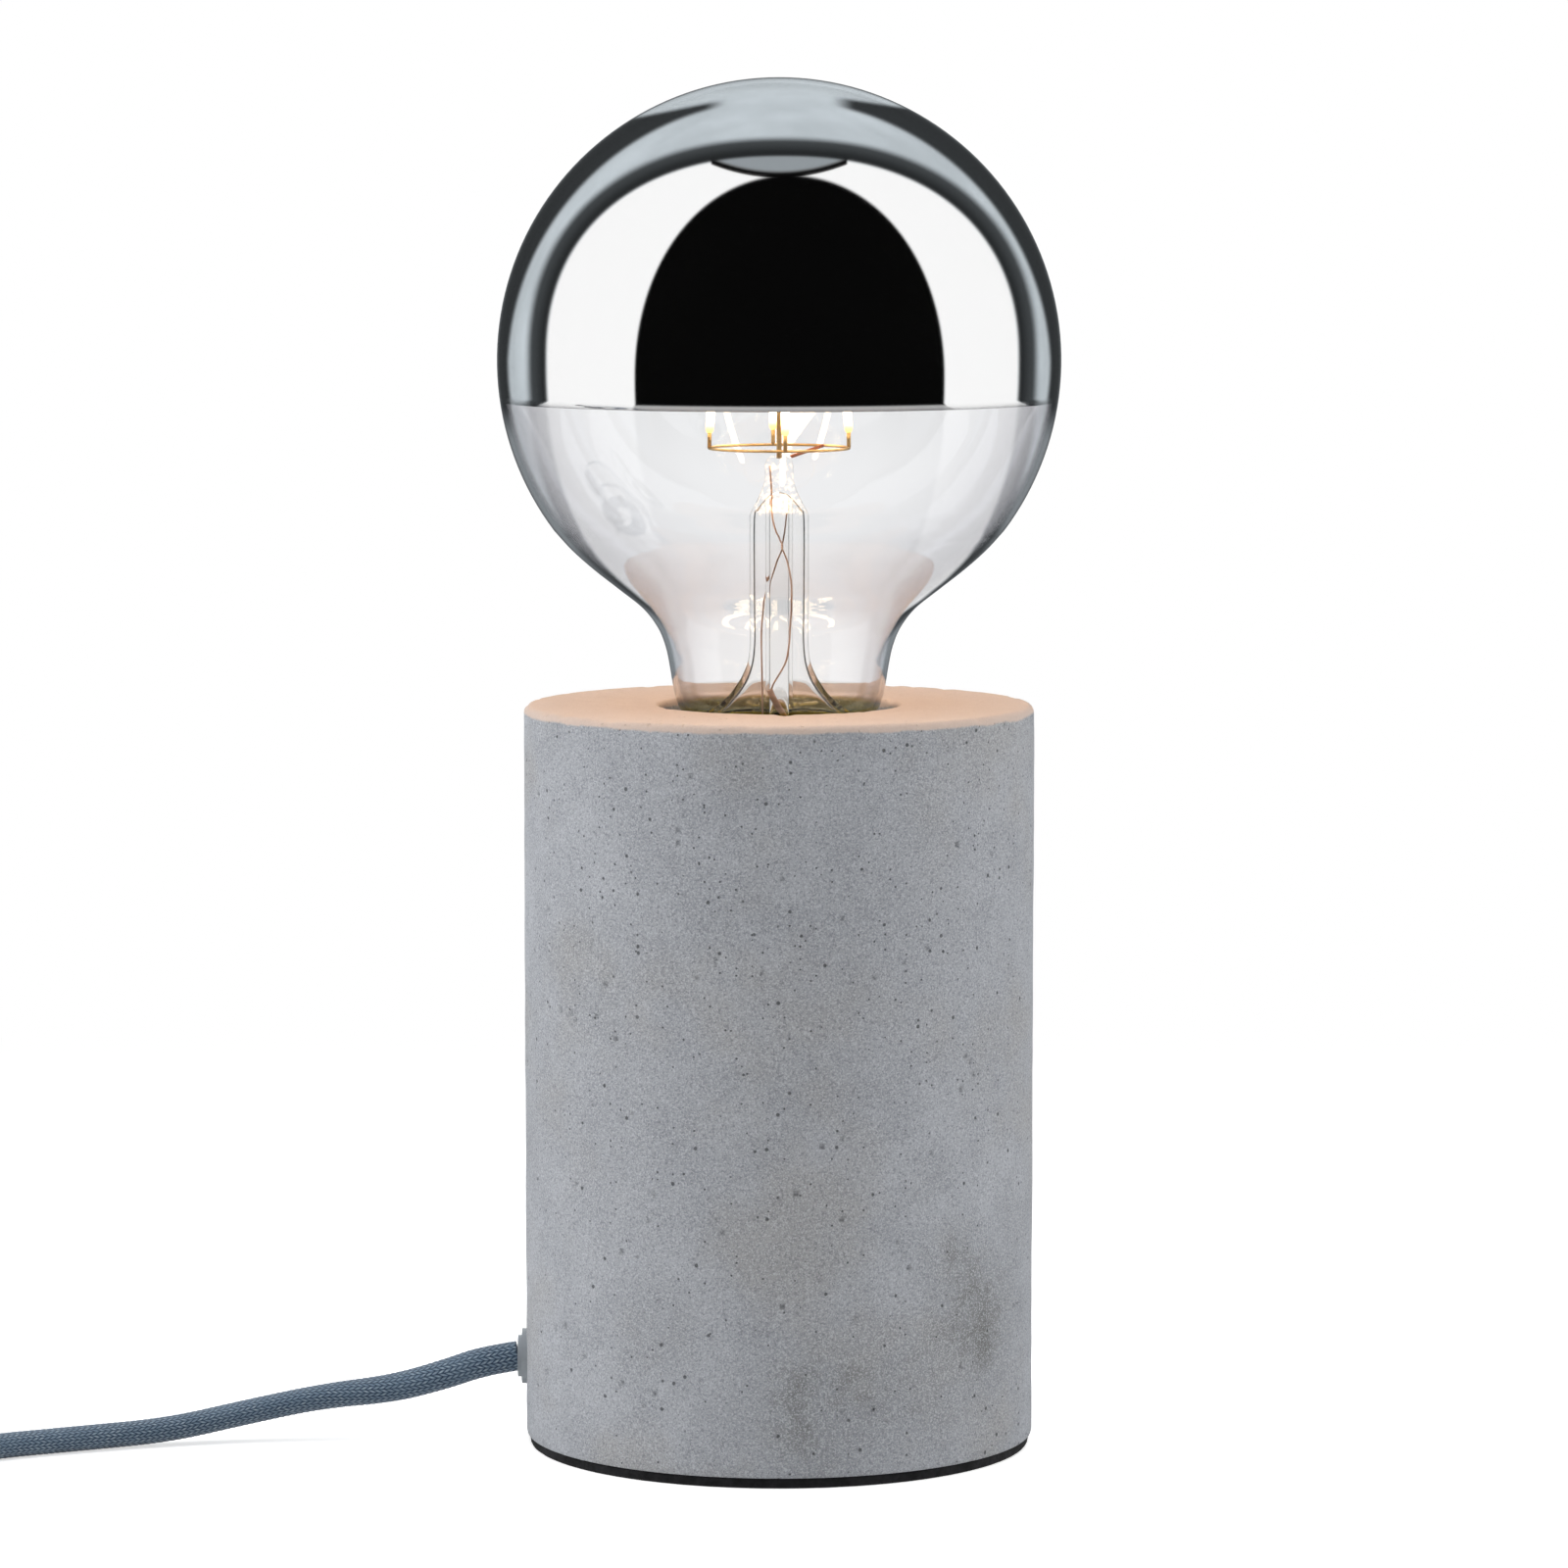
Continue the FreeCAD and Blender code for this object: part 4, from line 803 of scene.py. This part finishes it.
def makeTie():
    # a loop of webbing drawn round the bundle
    inner, outer, low, high = (tie[key] for key in ("inner", "outer", "low", "high"))
    corners = [(inner, low), (outer, low), (outer, high), (inner, high)]
    around = roundedProfile([(*corner, tie["corner"]) for corner in corners])
    middle = Vector(((inner + outer) / 2, (low + high) / 2))
    turn, rows, points = radians(tie["angle"]), len(tie["section"]), []
    for across, lift in tie["section"]:
        side = across * tie["width"]
        for r, z in around:
            away = (Vector((r, z)) - middle).normalized() * lift * tie["wall"] * 2
            x = coil["centre"][0] + (r + away.x) * cos(turn) - side * sin(turn)
            y = coil["centre"][1] + (r + away.x) * sin(turn) + side * cos(turn)
            points.append((x * mm, y * mm, max(z + away.y, tie["over"]) * mm))
    faces = ringFaces([(a, (a + 1) % rows) for a in range(rows)], len(around))
    dress(newPiece("coilTie", points, faces), finish["tieWebbing"], "lamp", "tie_webbing", "coil_tie")


makeCords()
makeTie()
print("cords ready")

# base

base = {
    "radius": 43.3,
    "foot": 1.8,
    "top": 126.3,
    "edge": 1.3,  # rounding of the upper rim
    "footEdge": 0.6,
    "wellRadius": 20.3,
    "wellEdge": 0.8,
    "shelfTop": 69.0,
    "shelfFoot": 60.0,
    "shelfBore": 6.0,
    "roomRadius": 26.0,
    "recessRadius": 34.3,
    "recessTop": 3.4,
    "grid": 1.1,  # mm between the points of the outer skin
    "under": 0.16,  # mm that the cast skin stays inside the mould's size
    "waves": ((60, 0.10), (260, 0.05)),  # how fine, how high in mm
    "chips": (330, 0.12, 0.55),  # how fine, what is cut off, how deep
    "chipReach": 2.2,
    "pits": 190,
    "pitSizes": (0.16, 0.22, 0.28, 0.36),
    "pitDepth": 1.3,  # times the size
    "pitZone": (5, 122),
    "padRadius": 42.6,
    "padWear": 0.1,
}

stains = [
    # x, z in mm on the front, size, how dark
    (33, 27, 12, 0.7),
    (35, 18, 8, 0.6),
    (7, 14, 13, 0.8),
    (-21, 26, 9, 0.4),
    (30, 36, 8, 0.6),
    (35, 27, 9, 0.5),
    (22, 14, 10, 0.6),
    (38, 70, 16, 0.25),
    (20, 90, 20, 0.15),
    (-30, 60, 18, 0.15),
]


def finelySplit(profile, span):
    out = []
    for a, b in zip(profile, profile[1:]):
        a, b = Vector(a), Vector(b)
        pieces = max(1, round((b - a).length / span))
        out += [tuple(a.lerp(b, k / pieces)) for k in range(pieces)]
    return out + [tuple(profile[-1])]


def shifted(where):
    # the same place in another part of the noise
    return made("VectorMath", {0: where, 1: (0.31, 0.17, 0.53)}, operation="ADD")[0]


def cellDots(where, scale, low, high):
    # a round dot in each cell, and a number that each cell draws
    cells = made("TexVoronoi", {"Vector": where, "Scale": scale, "Randomness": 1.0})
    return ramp(cells["Distance"], low, high), axesOf(cells["Color"])[0]


def concreteFinish():
    material, tree, skin = newMaterial("castConcrete", {"Roughness": 0.88, "Specular IOR Level": 0.25})
    where = place(tree)
    z = axesOf(where)[2]
    broad = grain(tree, 22, 4, 0.6, where)
    cloud = grain(tree, 110, 6, 0.72, where)
    speck = grain(tree, 2100, 5, 0.75, where)
    sand = grain(tree, 3300, 3, 0.7, where)
    light, mid, dark = straight(171, 174, 180), straight(157, 160, 166), straight(134, 136, 139)
    tone = blendColour(ramp(cloud, 0.32, 0.68), mid, light)
    tone = blendColour(ramp(broad, 0.50, 0.72, 0.0, 0.42), tone, dark)
    warmth = ramp(grain(tree, 30, 3, 0.6, shifted(where)), 0.48, 0.68, 0.0, 0.5)
    tone = blendColour(warmth, tone, straight(158, 156, 153))
    for x, up, size, depth in stains:
        spot = (x * mm, -sqrt(base["radius"] ** 2 - x * x) * mm, up * mm)
        fade = ramp(from3d(where, spot), size * mm * 1.35, size * mm * 0.2, 0.0, depth)
        fade = times(fade, ramp(cloud, 0.42, 0.66, 0.15, 1.0))
        tone = blendColour(fade, tone, straight(112, 112, 110))
    tone = blendColour(ramp(speck, 0.47, 0.62, 0.0, 0.52), tone, straight(106, 109, 114))
    tone = blendColour(ramp(sand, 0.49, 0.62, 0.0, 0.58), tone, straight(204, 207, 211))
    # pin holes in two sizes; the smaller ones are more common towards the top; their darkness is painted
    # shade
    dots, drawn = cellDots(where, 520.0, 0.20, 0.12)
    hole = times(dots, ramp(drawn, 0.86, 0.88))
    dots, drawn = cellDots(where, 1150.0, 0.25, 0.15)
    rare = maths("GREATER_THAN", drawn, ramp(z, 30 * mm, 110 * mm, 0.95, 0.88))
    hole = larger(hole, times(dots, rare))
    # painted shade: the pin holes are darkened as if shaded inside
    tone = blendColour(times(hole, 0.75), tone, straight(58, 60, 62))
    # the top face is ground smooth; its peach tint is painted light, the bulb's warm light on it, which the
    # filament glow lamp also gives
    paintedWarmthHeight = plus(z, times(minus(cloud, 0.5), 1.6 * mm))
    top = ramp(paintedWarmthHeight, (base["top"] - 1.6) * mm, (base["top"] - 1.1) * mm)
    # painted warm light: the top face is blended towards peach
    tone = blendColour(times(top, 0.8), tone, straight(214, 192, 177))
    feed(skin, "Base Color", tone)
    relief = plus(times(speck, 0.5), times(sand, 0.25))
    bumped(skin, minus(relief, times(hole, 1.2)), 0.22 * mm, 0.7)
    return material


def makeConcrete(material):
    r, top, foot, well = base["radius"], base["top"], base["foot"], base["wellRadius"]
    skin = [(base["recessRadius"], foot), (r - base["footEdge"], foot)]
    skin += roundCorner((r, foot), (r - 5, foot), (r, foot + 5), base["footEdge"], 3)[1:]
    skin += roundCorner((r, top), (r, top - 5), (r - 5, top), base["edge"], 5)
    skin += roundCorner((well, top), (well + 5, top), (well, top - 5), base["wellEdge"], 4)
    skin = finelySplit([*skin, (well, base["shelfTop"])], base["grid"])
    inside = [
        (base["shelfBore"], base["shelfTop"]),
        (base["shelfBore"], base["shelfFoot"]),
        (base["roomRadius"], base["shelfFoot"]),
        (base["roomRadius"], base["recessTop"]),
        (base["recessRadius"], base["recessTop"]),
    ]
    piece = spun("concreteBody", skin + inside, 248)
    draw = random.Random(7)
    mesh = piece.data
    fine, cut, deep = base["chips"]
    for v in mesh.vertices:
        # a cast skin is never quite true; the foot, the shelf and its bore stay as they are
        p = v.co
        if p.z < 1.9 * mm or hypot(p.x, p.y) < 15 * mm:
            continue
        wave = sum(noise.noise(p * size) * height for size, height in base["waves"])
        out = Vector((p.x, p.y, 0)).normalized()
        nearRim = max(0.0, 1 - abs(p.z / mm - top) / base["chipReach"])
        chip = nearRim * max(0.0, noise.noise(p * fine) - cut) * deep
        if hypot(p.x, p.y) > 30 * mm:
            v.co -= out * (base["under"] - wave + chip) * mm
        if nearRim > 0:
            v.co.z -= (0.05 + max(0, -wave) + chip * 0.8) * mm
    # the larger bubbles in the skin are real pits
    bm = bmesh.new()
    bm.from_mesh(mesh)
    bm.faces.ensure_lookup_table()
    low, high = (z * mm for z in base["pitZone"])
    outer = []
    for face in bm.faces:
        middle = face.calc_center_median()
        if hypot(middle.x, middle.y) > 42 * mm and low < middle.z < high:
            outer.append(face)
    for face in draw.sample(outer, base["pits"]):
        size = draw.choice(base["pitSizes"]) * mm
        side = min(e.calc_length() for e in face.edges)
        bmesh.ops.inset_individual(bm, faces=[face], thickness=(side - size) / 2)
        normal = face.normal.copy()
        for v in face.verts:
            v.co -= normal * size * base["pitDepth"]
    bm.to_mesh(mesh)
    bm.free()
    mesh.shade_smooth()
    dress(piece, material, "lamp", "cast_concrete", "concrete_body")
    return piece


def makePad():
    r, top, wear = base["padRadius"], base["foot"], base["padWear"]
    profile = roundedProfile([(0, 0, 0), (r, 0, 0.5), (r, top, 0.4), (0, top, 0)], 4)
    pad = spun("basePad", profile, 180, closed=False)
    for v in pad.data.vertices:
        out = Vector((v.co.x, v.co.y, 0))
        if out.length > 38 * mm:
            v.co -= out.normalized() * (wear + wear * noise.noise(v.co * 400)) * mm
    dress(pad, finish["blackFoam"], "lamp", "black_foam", "base_pad")


makeGlow([makeConcrete(concreteFinish())])
makePad()
print("base ready")

# bulb

bulb = {
    "radius": 47.5,
    "centreZ": 184.2,
    "wall": 0.9,
    "mirrorZ": 177.5,
    "mirrorEdge": 0.3,  # half the height over which the glass clears below the mirror
    "coat": 0.12,
    "coatGap": 0.02,
    "sealRadius": 13.0,
    "lipZ": 123.3,
    "sealZ": 120.8,
    "neckDark": (126.8, 127.3, 129.2, 128.4),  # where painted shade of the dark well lies on the glass, foot then top
    "neckOlive": (126.5, 125.9),
}

# the glass below its round part: radius and drop below the globe's centre
neckShape = [
    *[(37.98, 28.52), (35.0, 31.8), (31.3, 35.1), (27.1, 38.4), (23.0, 41.7), (20.5, 45.0), (19.2, 48.2)],
    *[(18.5, 51.5), (18.1, 54.0), (17.6, 56.6), (16.7, 58.9), (14.9, 60.6), (13.3, 61.2)],
]


def arcPoint(radius, angle):
    return radius * cos(angle), bulb["centreZ"] + radius * sin(angle)


def glassOutline(inset):
    # the outside of the glass, from the crown to the seal, or the same drawn inwards
    leave, steps = asin(neckShape[0][1] / bulb["radius"]), 60
    line = []
    for k in range(steps):
        line.append(arcPoint(bulb["radius"], radians(90) - (radians(90) + leave) * k / steps))
    line += [(r, bulb["centreZ"] - d) for r, d in softLine(neckShape)]
    line.append((bulb["sealRadius"], bulb["sealZ"]))
    if inset <= 0:
        return line
    out = []
    for i, (r, z) in enumerate(line):
        along = (Vector(line[min(i + 1, len(line) - 1)]) - Vector(line[max(i - 1, 0)])).normalized()
        out.append((max(r + along.y * inset, 0) if i else 0, z - along.x * inset))
    return out


def glassFinish(name, tint, edgeTint, bend=1.5, neck=False):
    # clear glass that lets the lamps' light through, with painted shade where it is seen edge on, greyer
    # there as if showing the dark room
    fixed = {"Roughness": 0.0, "IOR": bend, "Transmission Weight": 1.0}
    material, tree, skin = newMaterial(name, fixed)
    z = axesOf(place(tree))[2]
    facing = put(tree, "LayerWeight", {0: 0.5}).outputs["Facing"]
    # painted shade: grey towards the parts of the glass seen edge on
    tone = blendColour(ramp(facing, 0.10, 0.80), tint, edgeTint)
    foot, edge = bulb["mirrorZ"], bulb["mirrorEdge"]
    below = ramp(z, (foot + edge) * mm, (foot - edge) * mm)
    tone = blendColour(below, (0.985, 0.985, 0.985), tone)
    if neck:
        # the rolled end of the neck is painted with the cement's olive and with painted shade where the
        # dark well lies behind it
        a, b, c, d = (height * mm for height in bulb["neckDark"])
        dim = times(ramp(z, a, b), ramp(z, c, d))
        tone = blendColour(times(dim, 0.5), tone, (0.50, 0.47, 0.43))
        olive = ramp(z, *(height * mm for height in bulb["neckOlive"]), 0.0, 0.85)
        tone = blendColour(olive, tone, (0.86, 0.76, 0.24))
    feed(skin, "Base Color", tone)
    bumped(skin, grain(tree, 38, 2, 0.4), 0.05 * mm, 0.1)
    clear = put(tree, "BsdfTransparent", {0: (0.97, 0.97, 0.97, 1)}).outputs[0]
    path = put(tree, "LightPath").outputs
    showInstead(mixShaders(path["Is Shadow Ray"], skin.outputs[0], clear))
    return material


def addSparkle(material, low, high):
    # painted glints: small glowing flecks on the stem's uneven pinch stand for the filaments' light that it
    # catches
    tree = material.node_tree
    skin = next(n for n in tree.nodes if n.bl_idname == "ShaderNodeBsdfPrincipled")
    z = axesOf(place(tree))[2]
    band = times(ramp(z, low * mm, (low + 1.2) * mm), ramp(z, high * mm, (high - 1.2) * mm))
    flecks = times(band, ramp(grain(tree, 1100, 3), 0.50, 0.64))
    skin.inputs["Emission Color"].default_value = (1.0, 0.66, 0.36, 1)
    feed(skin, "Emission Strength", times(flecks, stem["sparkle"]))


def makeGlobe():
    profile = glassOutline(0) + glassOutline(bulb["wall"])[::-1]
    glass = glassFinish("clearGlass", (0.965, 0.968, 0.974), (0.68, 0.68, 0.715), neck=True)
    dress(spun("bulbGlass", profile, 160, closed=False), glass, "bulb", "clear_glass", "bulb_glass")


def mirrorFinish():
    fixed = {"Base Color": (0.93, 0.94, 0.95, 1), "Metallic": 1.0}
    material, tree, skin = newMaterial("mirrorSilver", fixed)
    haze = ramp(grain(tree, 60, 4), 0.3, 0.8, 0.012, 0.03)
    feed(skin, "Roughness", haze)
    return material


def makeMirror():
    # the coating lies on the inside of the glass; its face is what shows
    outer = bulb["radius"] - bulb["wall"] - bulb["coatGap"]
    drop, steps, profile = bulb["centreZ"] - bulb["mirrorZ"], 72, []
    for radius, order in ((outer, 1), (outer - bulb["coat"], -1)):
        reach = radians(90) + asin(drop / radius)
        arc = [(0.0, bulb["centreZ"] + radius)]
        arc += [arcPoint(radius, radians(90) - reach * k / steps) for k in range(1, steps + 1)]
        profile += arc[::order]
    coat = spun("mirrorCoating", profile, 200, closed=False)
    dress(coat, mirrorFinish(), "bulb", "mirror_silver", "mirror_coating")


light = {
    "count": 4,
    "firstAngle": 5.0,
    "ringZ": 169.5,
    "ringRadius": 11.8,
    "topZ": 211.7,
    "topRadius": 9.0,
    "tab": 2.6,
    "taper": [(0.0, 0.4), (0.3, 0.6), (0.8, 0.7)],  # mm from a strip's end, radius there
    "inTab": 0.4,
    "tabWire": 0.35,
    "ringWire": 0.24,
    "mastWire": 0.45,
    "spokeWire": 0.3,
    "spokes": (50, 230),  # degrees
    "warmTo": 6.0,  # mm over the lower ring where a strip has gone from amber to white
    "glow": (2.0, 11.0),
}

wires = {
    # lines in mm; the copper one wanders down inside the stem
    "copper": [
        *[(-1.5, -0.6, 166.5), (-1.2, -0.6, 161.5), (-1.3, -0.9, 160.2), (-0.9, -2.6, 156.8)],
        *[(0.8, -2.9, 152.1), (2.0, -2.7, 147.3), (1.9, -2.6, 141.0), (1.2, -2.9, 134.0)],
        *[(-1.4, -3.0, 128.2), (1.2, -3.1, 122.6)],
    ],
    "nickel": [
        *[(1.4, 1.2, 158.5), (0.4, 2.9, 152.0), (-2.2, 2.6, 145.5), (-3.0, 1.6, 139.5)],
        *[(-2.9, 1.2, 130.0), (-2.8, 0.8, 122.4)],
    ],
    "radius": 0.16,
    "sleeve": [(-1.6, -3.0, 128.9), (-1.0, -3.0, 127.4), (0.4, -3.1, 124.9), (1.4, -3.1, 122.2)],
    "sleeveRadius": 0.55,
}


def tubeAlong(name, line, radius, segments=16):
    # a round bar along a line of points in mm; radius may be a list
    line, points, side = [Vector(p) for p in line], [], None
    radii = radius if isinstance(radius, list) else [radius] * len(line)
    for i, p in enumerate(line):
        ahead = (line[min(i + 1, len(line) - 1)] - line[max(i - 1, 0)]).normalized()
        if side is None:
            side = ahead.orthogonal().normalized()
        side = (side - ahead * side.dot(ahead)).normalized()
        other = ahead.cross(side)
        for k in range(segments):
            a = tau * k / segments
            points.append((p + (side * cos(a) + other * sin(a)) * radii[i]) * mm)
    return newPiece(name, points, tubeFaces(len(line), segments))


def joined(name, pieces):
    # several meshes as one piece
    bm = bmesh.new()
    for piece in pieces:
        old = piece.data
        bm.from_mesh(old)
        bpy.data.objects.remove(piece)
        bpy.data.meshes.remove(old)
    whole = newPiece(name, [], [])
    bm.to_mesh(whole.data)
    bm.free()
    whole.data.shade_smooth()
    return whole


def filamentFinish():
    # a phosphor strip: amber where it starts, white-hot along the rest
    material, tree, skin = newMaterial("litFilament", {"Roughness": 0.6})
    z = axesOf(place(tree))[2]
    warm = ramp(z, *((light["ringZ"] + light[key]) * mm for key in ("tab", "warmTo")))
    tone = blendColour(warm, straight(252, 196, 120), straight(255, 226, 186))
    beads = ramp(grain(tree, 700, 2), 0.2, 0.8, 0.9, 1.1)
    strength = times(ramp(warm, 0.0, 1.0, *light["glow"]), beads)
    feed(skin, "Base Color", tone)
    feed(skin, "Emission Color", tone)
    feed(skin, "Emission Strength", strength)
    return material


def makeFilaments():
    low, high = light["ringZ"] + light["tab"], light["topZ"] - light["tab"]
    ends, inTab, wire = light["taper"], light["inTab"], light["tabWire"]
    bars, lower, upper = [], [], []
    for k in range(light["count"]):
        a = radians(light["firstAngle"] + k * 360 / light["count"])
        foot = Vector((light["ringRadius"] * cos(a), light["ringRadius"] * sin(a), low))
        head = Vector((light["topRadius"] * cos(a), light["topRadius"] * sin(a), high))
        up = (head - foot).normalized()
        line = [foot + up * d for d, _ in ends] + [head - up * d for d, _ in reversed(ends)]
        bars.append(tubeAlong("bar", line, [r for _, r in ends] + [r for _, r in reversed(ends)]))
        lower.append(tubeAlong("tab", [(foot.x, foot.y, light["ringZ"]), foot + up * inTab], wire, 10))
        upper.append(tubeAlong("tab", [head - up * inTab, (head.x, head.y, light["topZ"])], wire, 10))
    dress(joined("ledFilaments", bars), filamentFinish(), "bulb", "lit_filament", "led_filaments")

    def onRing(radius, z, angle):
        return radius * cos(angle), radius * sin(angle), z

    wide, narrow = (light["ringRadius"], light["ringZ"]), (light["topRadius"], light["topZ"])
    for ring, group in ((wide, lower), (narrow, upper)):
        line = [onRing(*ring, tau * k / 72) for k in range(73)]
        group.append(tubeAlong("ring", line, light["ringWire"], 10))
    # a mast from the stem carries the upper ring on two spokes
    top = (0, 0, light["topZ"])
    upper.append(tubeAlong("mast", [(0, 0, stem["tipZ"] - 0.6), top], light["mastWire"], 12))
    for turn in light["spokes"]:
        line = [top, onRing(*narrow, radians(turn))]
        upper.append(tubeAlong("spoke", line, light["spokeWire"], 10))
    dress(joined("lowerRing", lower), finish["ringWire"], "bulb", "copper_wire", "filament_ring_lower")
    dress(joined("upperRing", upper), finish["ringWire"], "bulb", "copper_wire", "filament_ring_upper")


stem = {
    "radius": 5.0,
    "wall": 0.9,
    "topRadius": 2.35,
    "shoulderZ": 158.5,
    "throatZ": 164.0,
    "tipZ": 168.3,
    "flareZ": 135.8,
    "exhaustRadius": 2.3,
    "exhaustBore": 1.6,
    "exhaustFoot": 122.2,
    "sparkle": 0.55,
}


def makeStem():
    r, wall, top, tipZ = stem["radius"], stem["wall"], stem["topRadius"], stem["tipZ"]
    shoulder, throat, flare = stem["shoulderZ"], stem["throatZ"], stem["flareZ"]
    foot, edge = bulb["lipZ"] + bulb["wall"], bulb["sealRadius"] - bulb["wall"]
    outside = [
        *[(edge, foot - 1.2), (edge - 0.2, foot + 0.4), (r + 3.6, foot + 3.4), (r + 1.0, foot + 7.4)],
        *[(r, flare), (r, flare + 10), (r, shoulder - 2), (r - 0.15, shoulder), (r - 1.5, shoulder + 2.6)],
        *[(top + 0.1, throat), (top, tipZ - 1.6), (top - 0.6, tipZ - 0.4), (0.4, tipZ)],
    ]
    inside = [
        *[(0.3, throat - 2.0), (1.6, throat - 2.6), (r - wall - 0.6, shoulder + 0.6)],
        *[(r - wall, shoulder - 1.2), (r - wall, flare + 10), (r - wall, flare)],
        *[(r + 0.2, foot + 6.4), (r + 2.8, foot + 2.4), (edge - wall, foot - 1.2)],
    ]
    profile = softLine(outside) + [(0, tipZ), (0, throat - 2.0)] + softLine(inside)
    glass = glassFinish("stemGlass", (0.985, 0.984, 0.98), (0.975, 0.97, 0.96), 1.05)
    addSparkle(glass, shoulder - 0.5, tipZ - 0.5)
    dress(spun("bulbStem", profile, 64), glass, "bulb", "clear_glass", "bulb_stem")
    bore, r, low, high = stem["exhaustBore"], stem["exhaustRadius"], stem["exhaustFoot"], throat - 3.0
    profile = roundedProfile([(bore, low, 0), (r, low, 0.2), (r, high, 0.3), (bore, high, 0.2)], 3)
    dress(spun("exhaustTube", profile, 40), glass, "bulb", "clear_glass", "exhaust_tube")


def makeWires():
    # bare wire from the stem's pinch down to the board, one in a pale sleeve at its foot
    bare = [tubeAlong("wire", softPath(wires[name]), wires["radius"], 10) for name in ("copper", "nickel")]
    bare.append(tubeAlong("wireSleeve", softPath(wires["sleeve"]), wires["sleeveRadius"], 12))
    dress(joined("leadWires", bare), finish["leadWire"], "bulb", "copper_wire", "filament_lead_wires")


tip = {"low": 96.7, "radius": 4.75, "disc": 1.56, "rivet": 3.24, "rivetTop": 5.95}


def makeTip():
    # the solder bead under the cap and the rivet behind it
    z, r, rivet = tip["low"], tip["radius"], tip["rivet"]
    disc, top = z + tip["disc"], z + tip["rivetTop"]
    profile = [
        *[(0, z), (r - 1.6, z + 0.02), (r - 0.75, z + 0.14), (r - 0.2, z + 0.5), (r, z + 1.1), (r, disc)],
        *[(rivet, disc), (rivet, top), (0, top)],
    ]
    piece = sharpen(spun("contactTip", profile, 64, closed=False))
    dress(piece, finish["tinnedSolder"], "bulb_tip", "tinned_solder", "cap_contact_tip")


makeGlobe()
makeMirror()
makeTip()
makeStem()
makeFilaments()
makeWires()
print("bulb ready")

# finishes of the CAD pieces that keep their own shape

def dressNodes():
    # a slot such as black_foam takes the finish of the same name, blackFoam
    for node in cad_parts.values():
        for place in node.material_slots:
            first, *rest = place.material.name.split(".")[0].split("_") if place.material else [""]
            name = first + "".join(word.capitalize() for word in rest)
            if name in finish:
                place.material = finish[name]


dressNodes()
print("CAD pieces dressed")
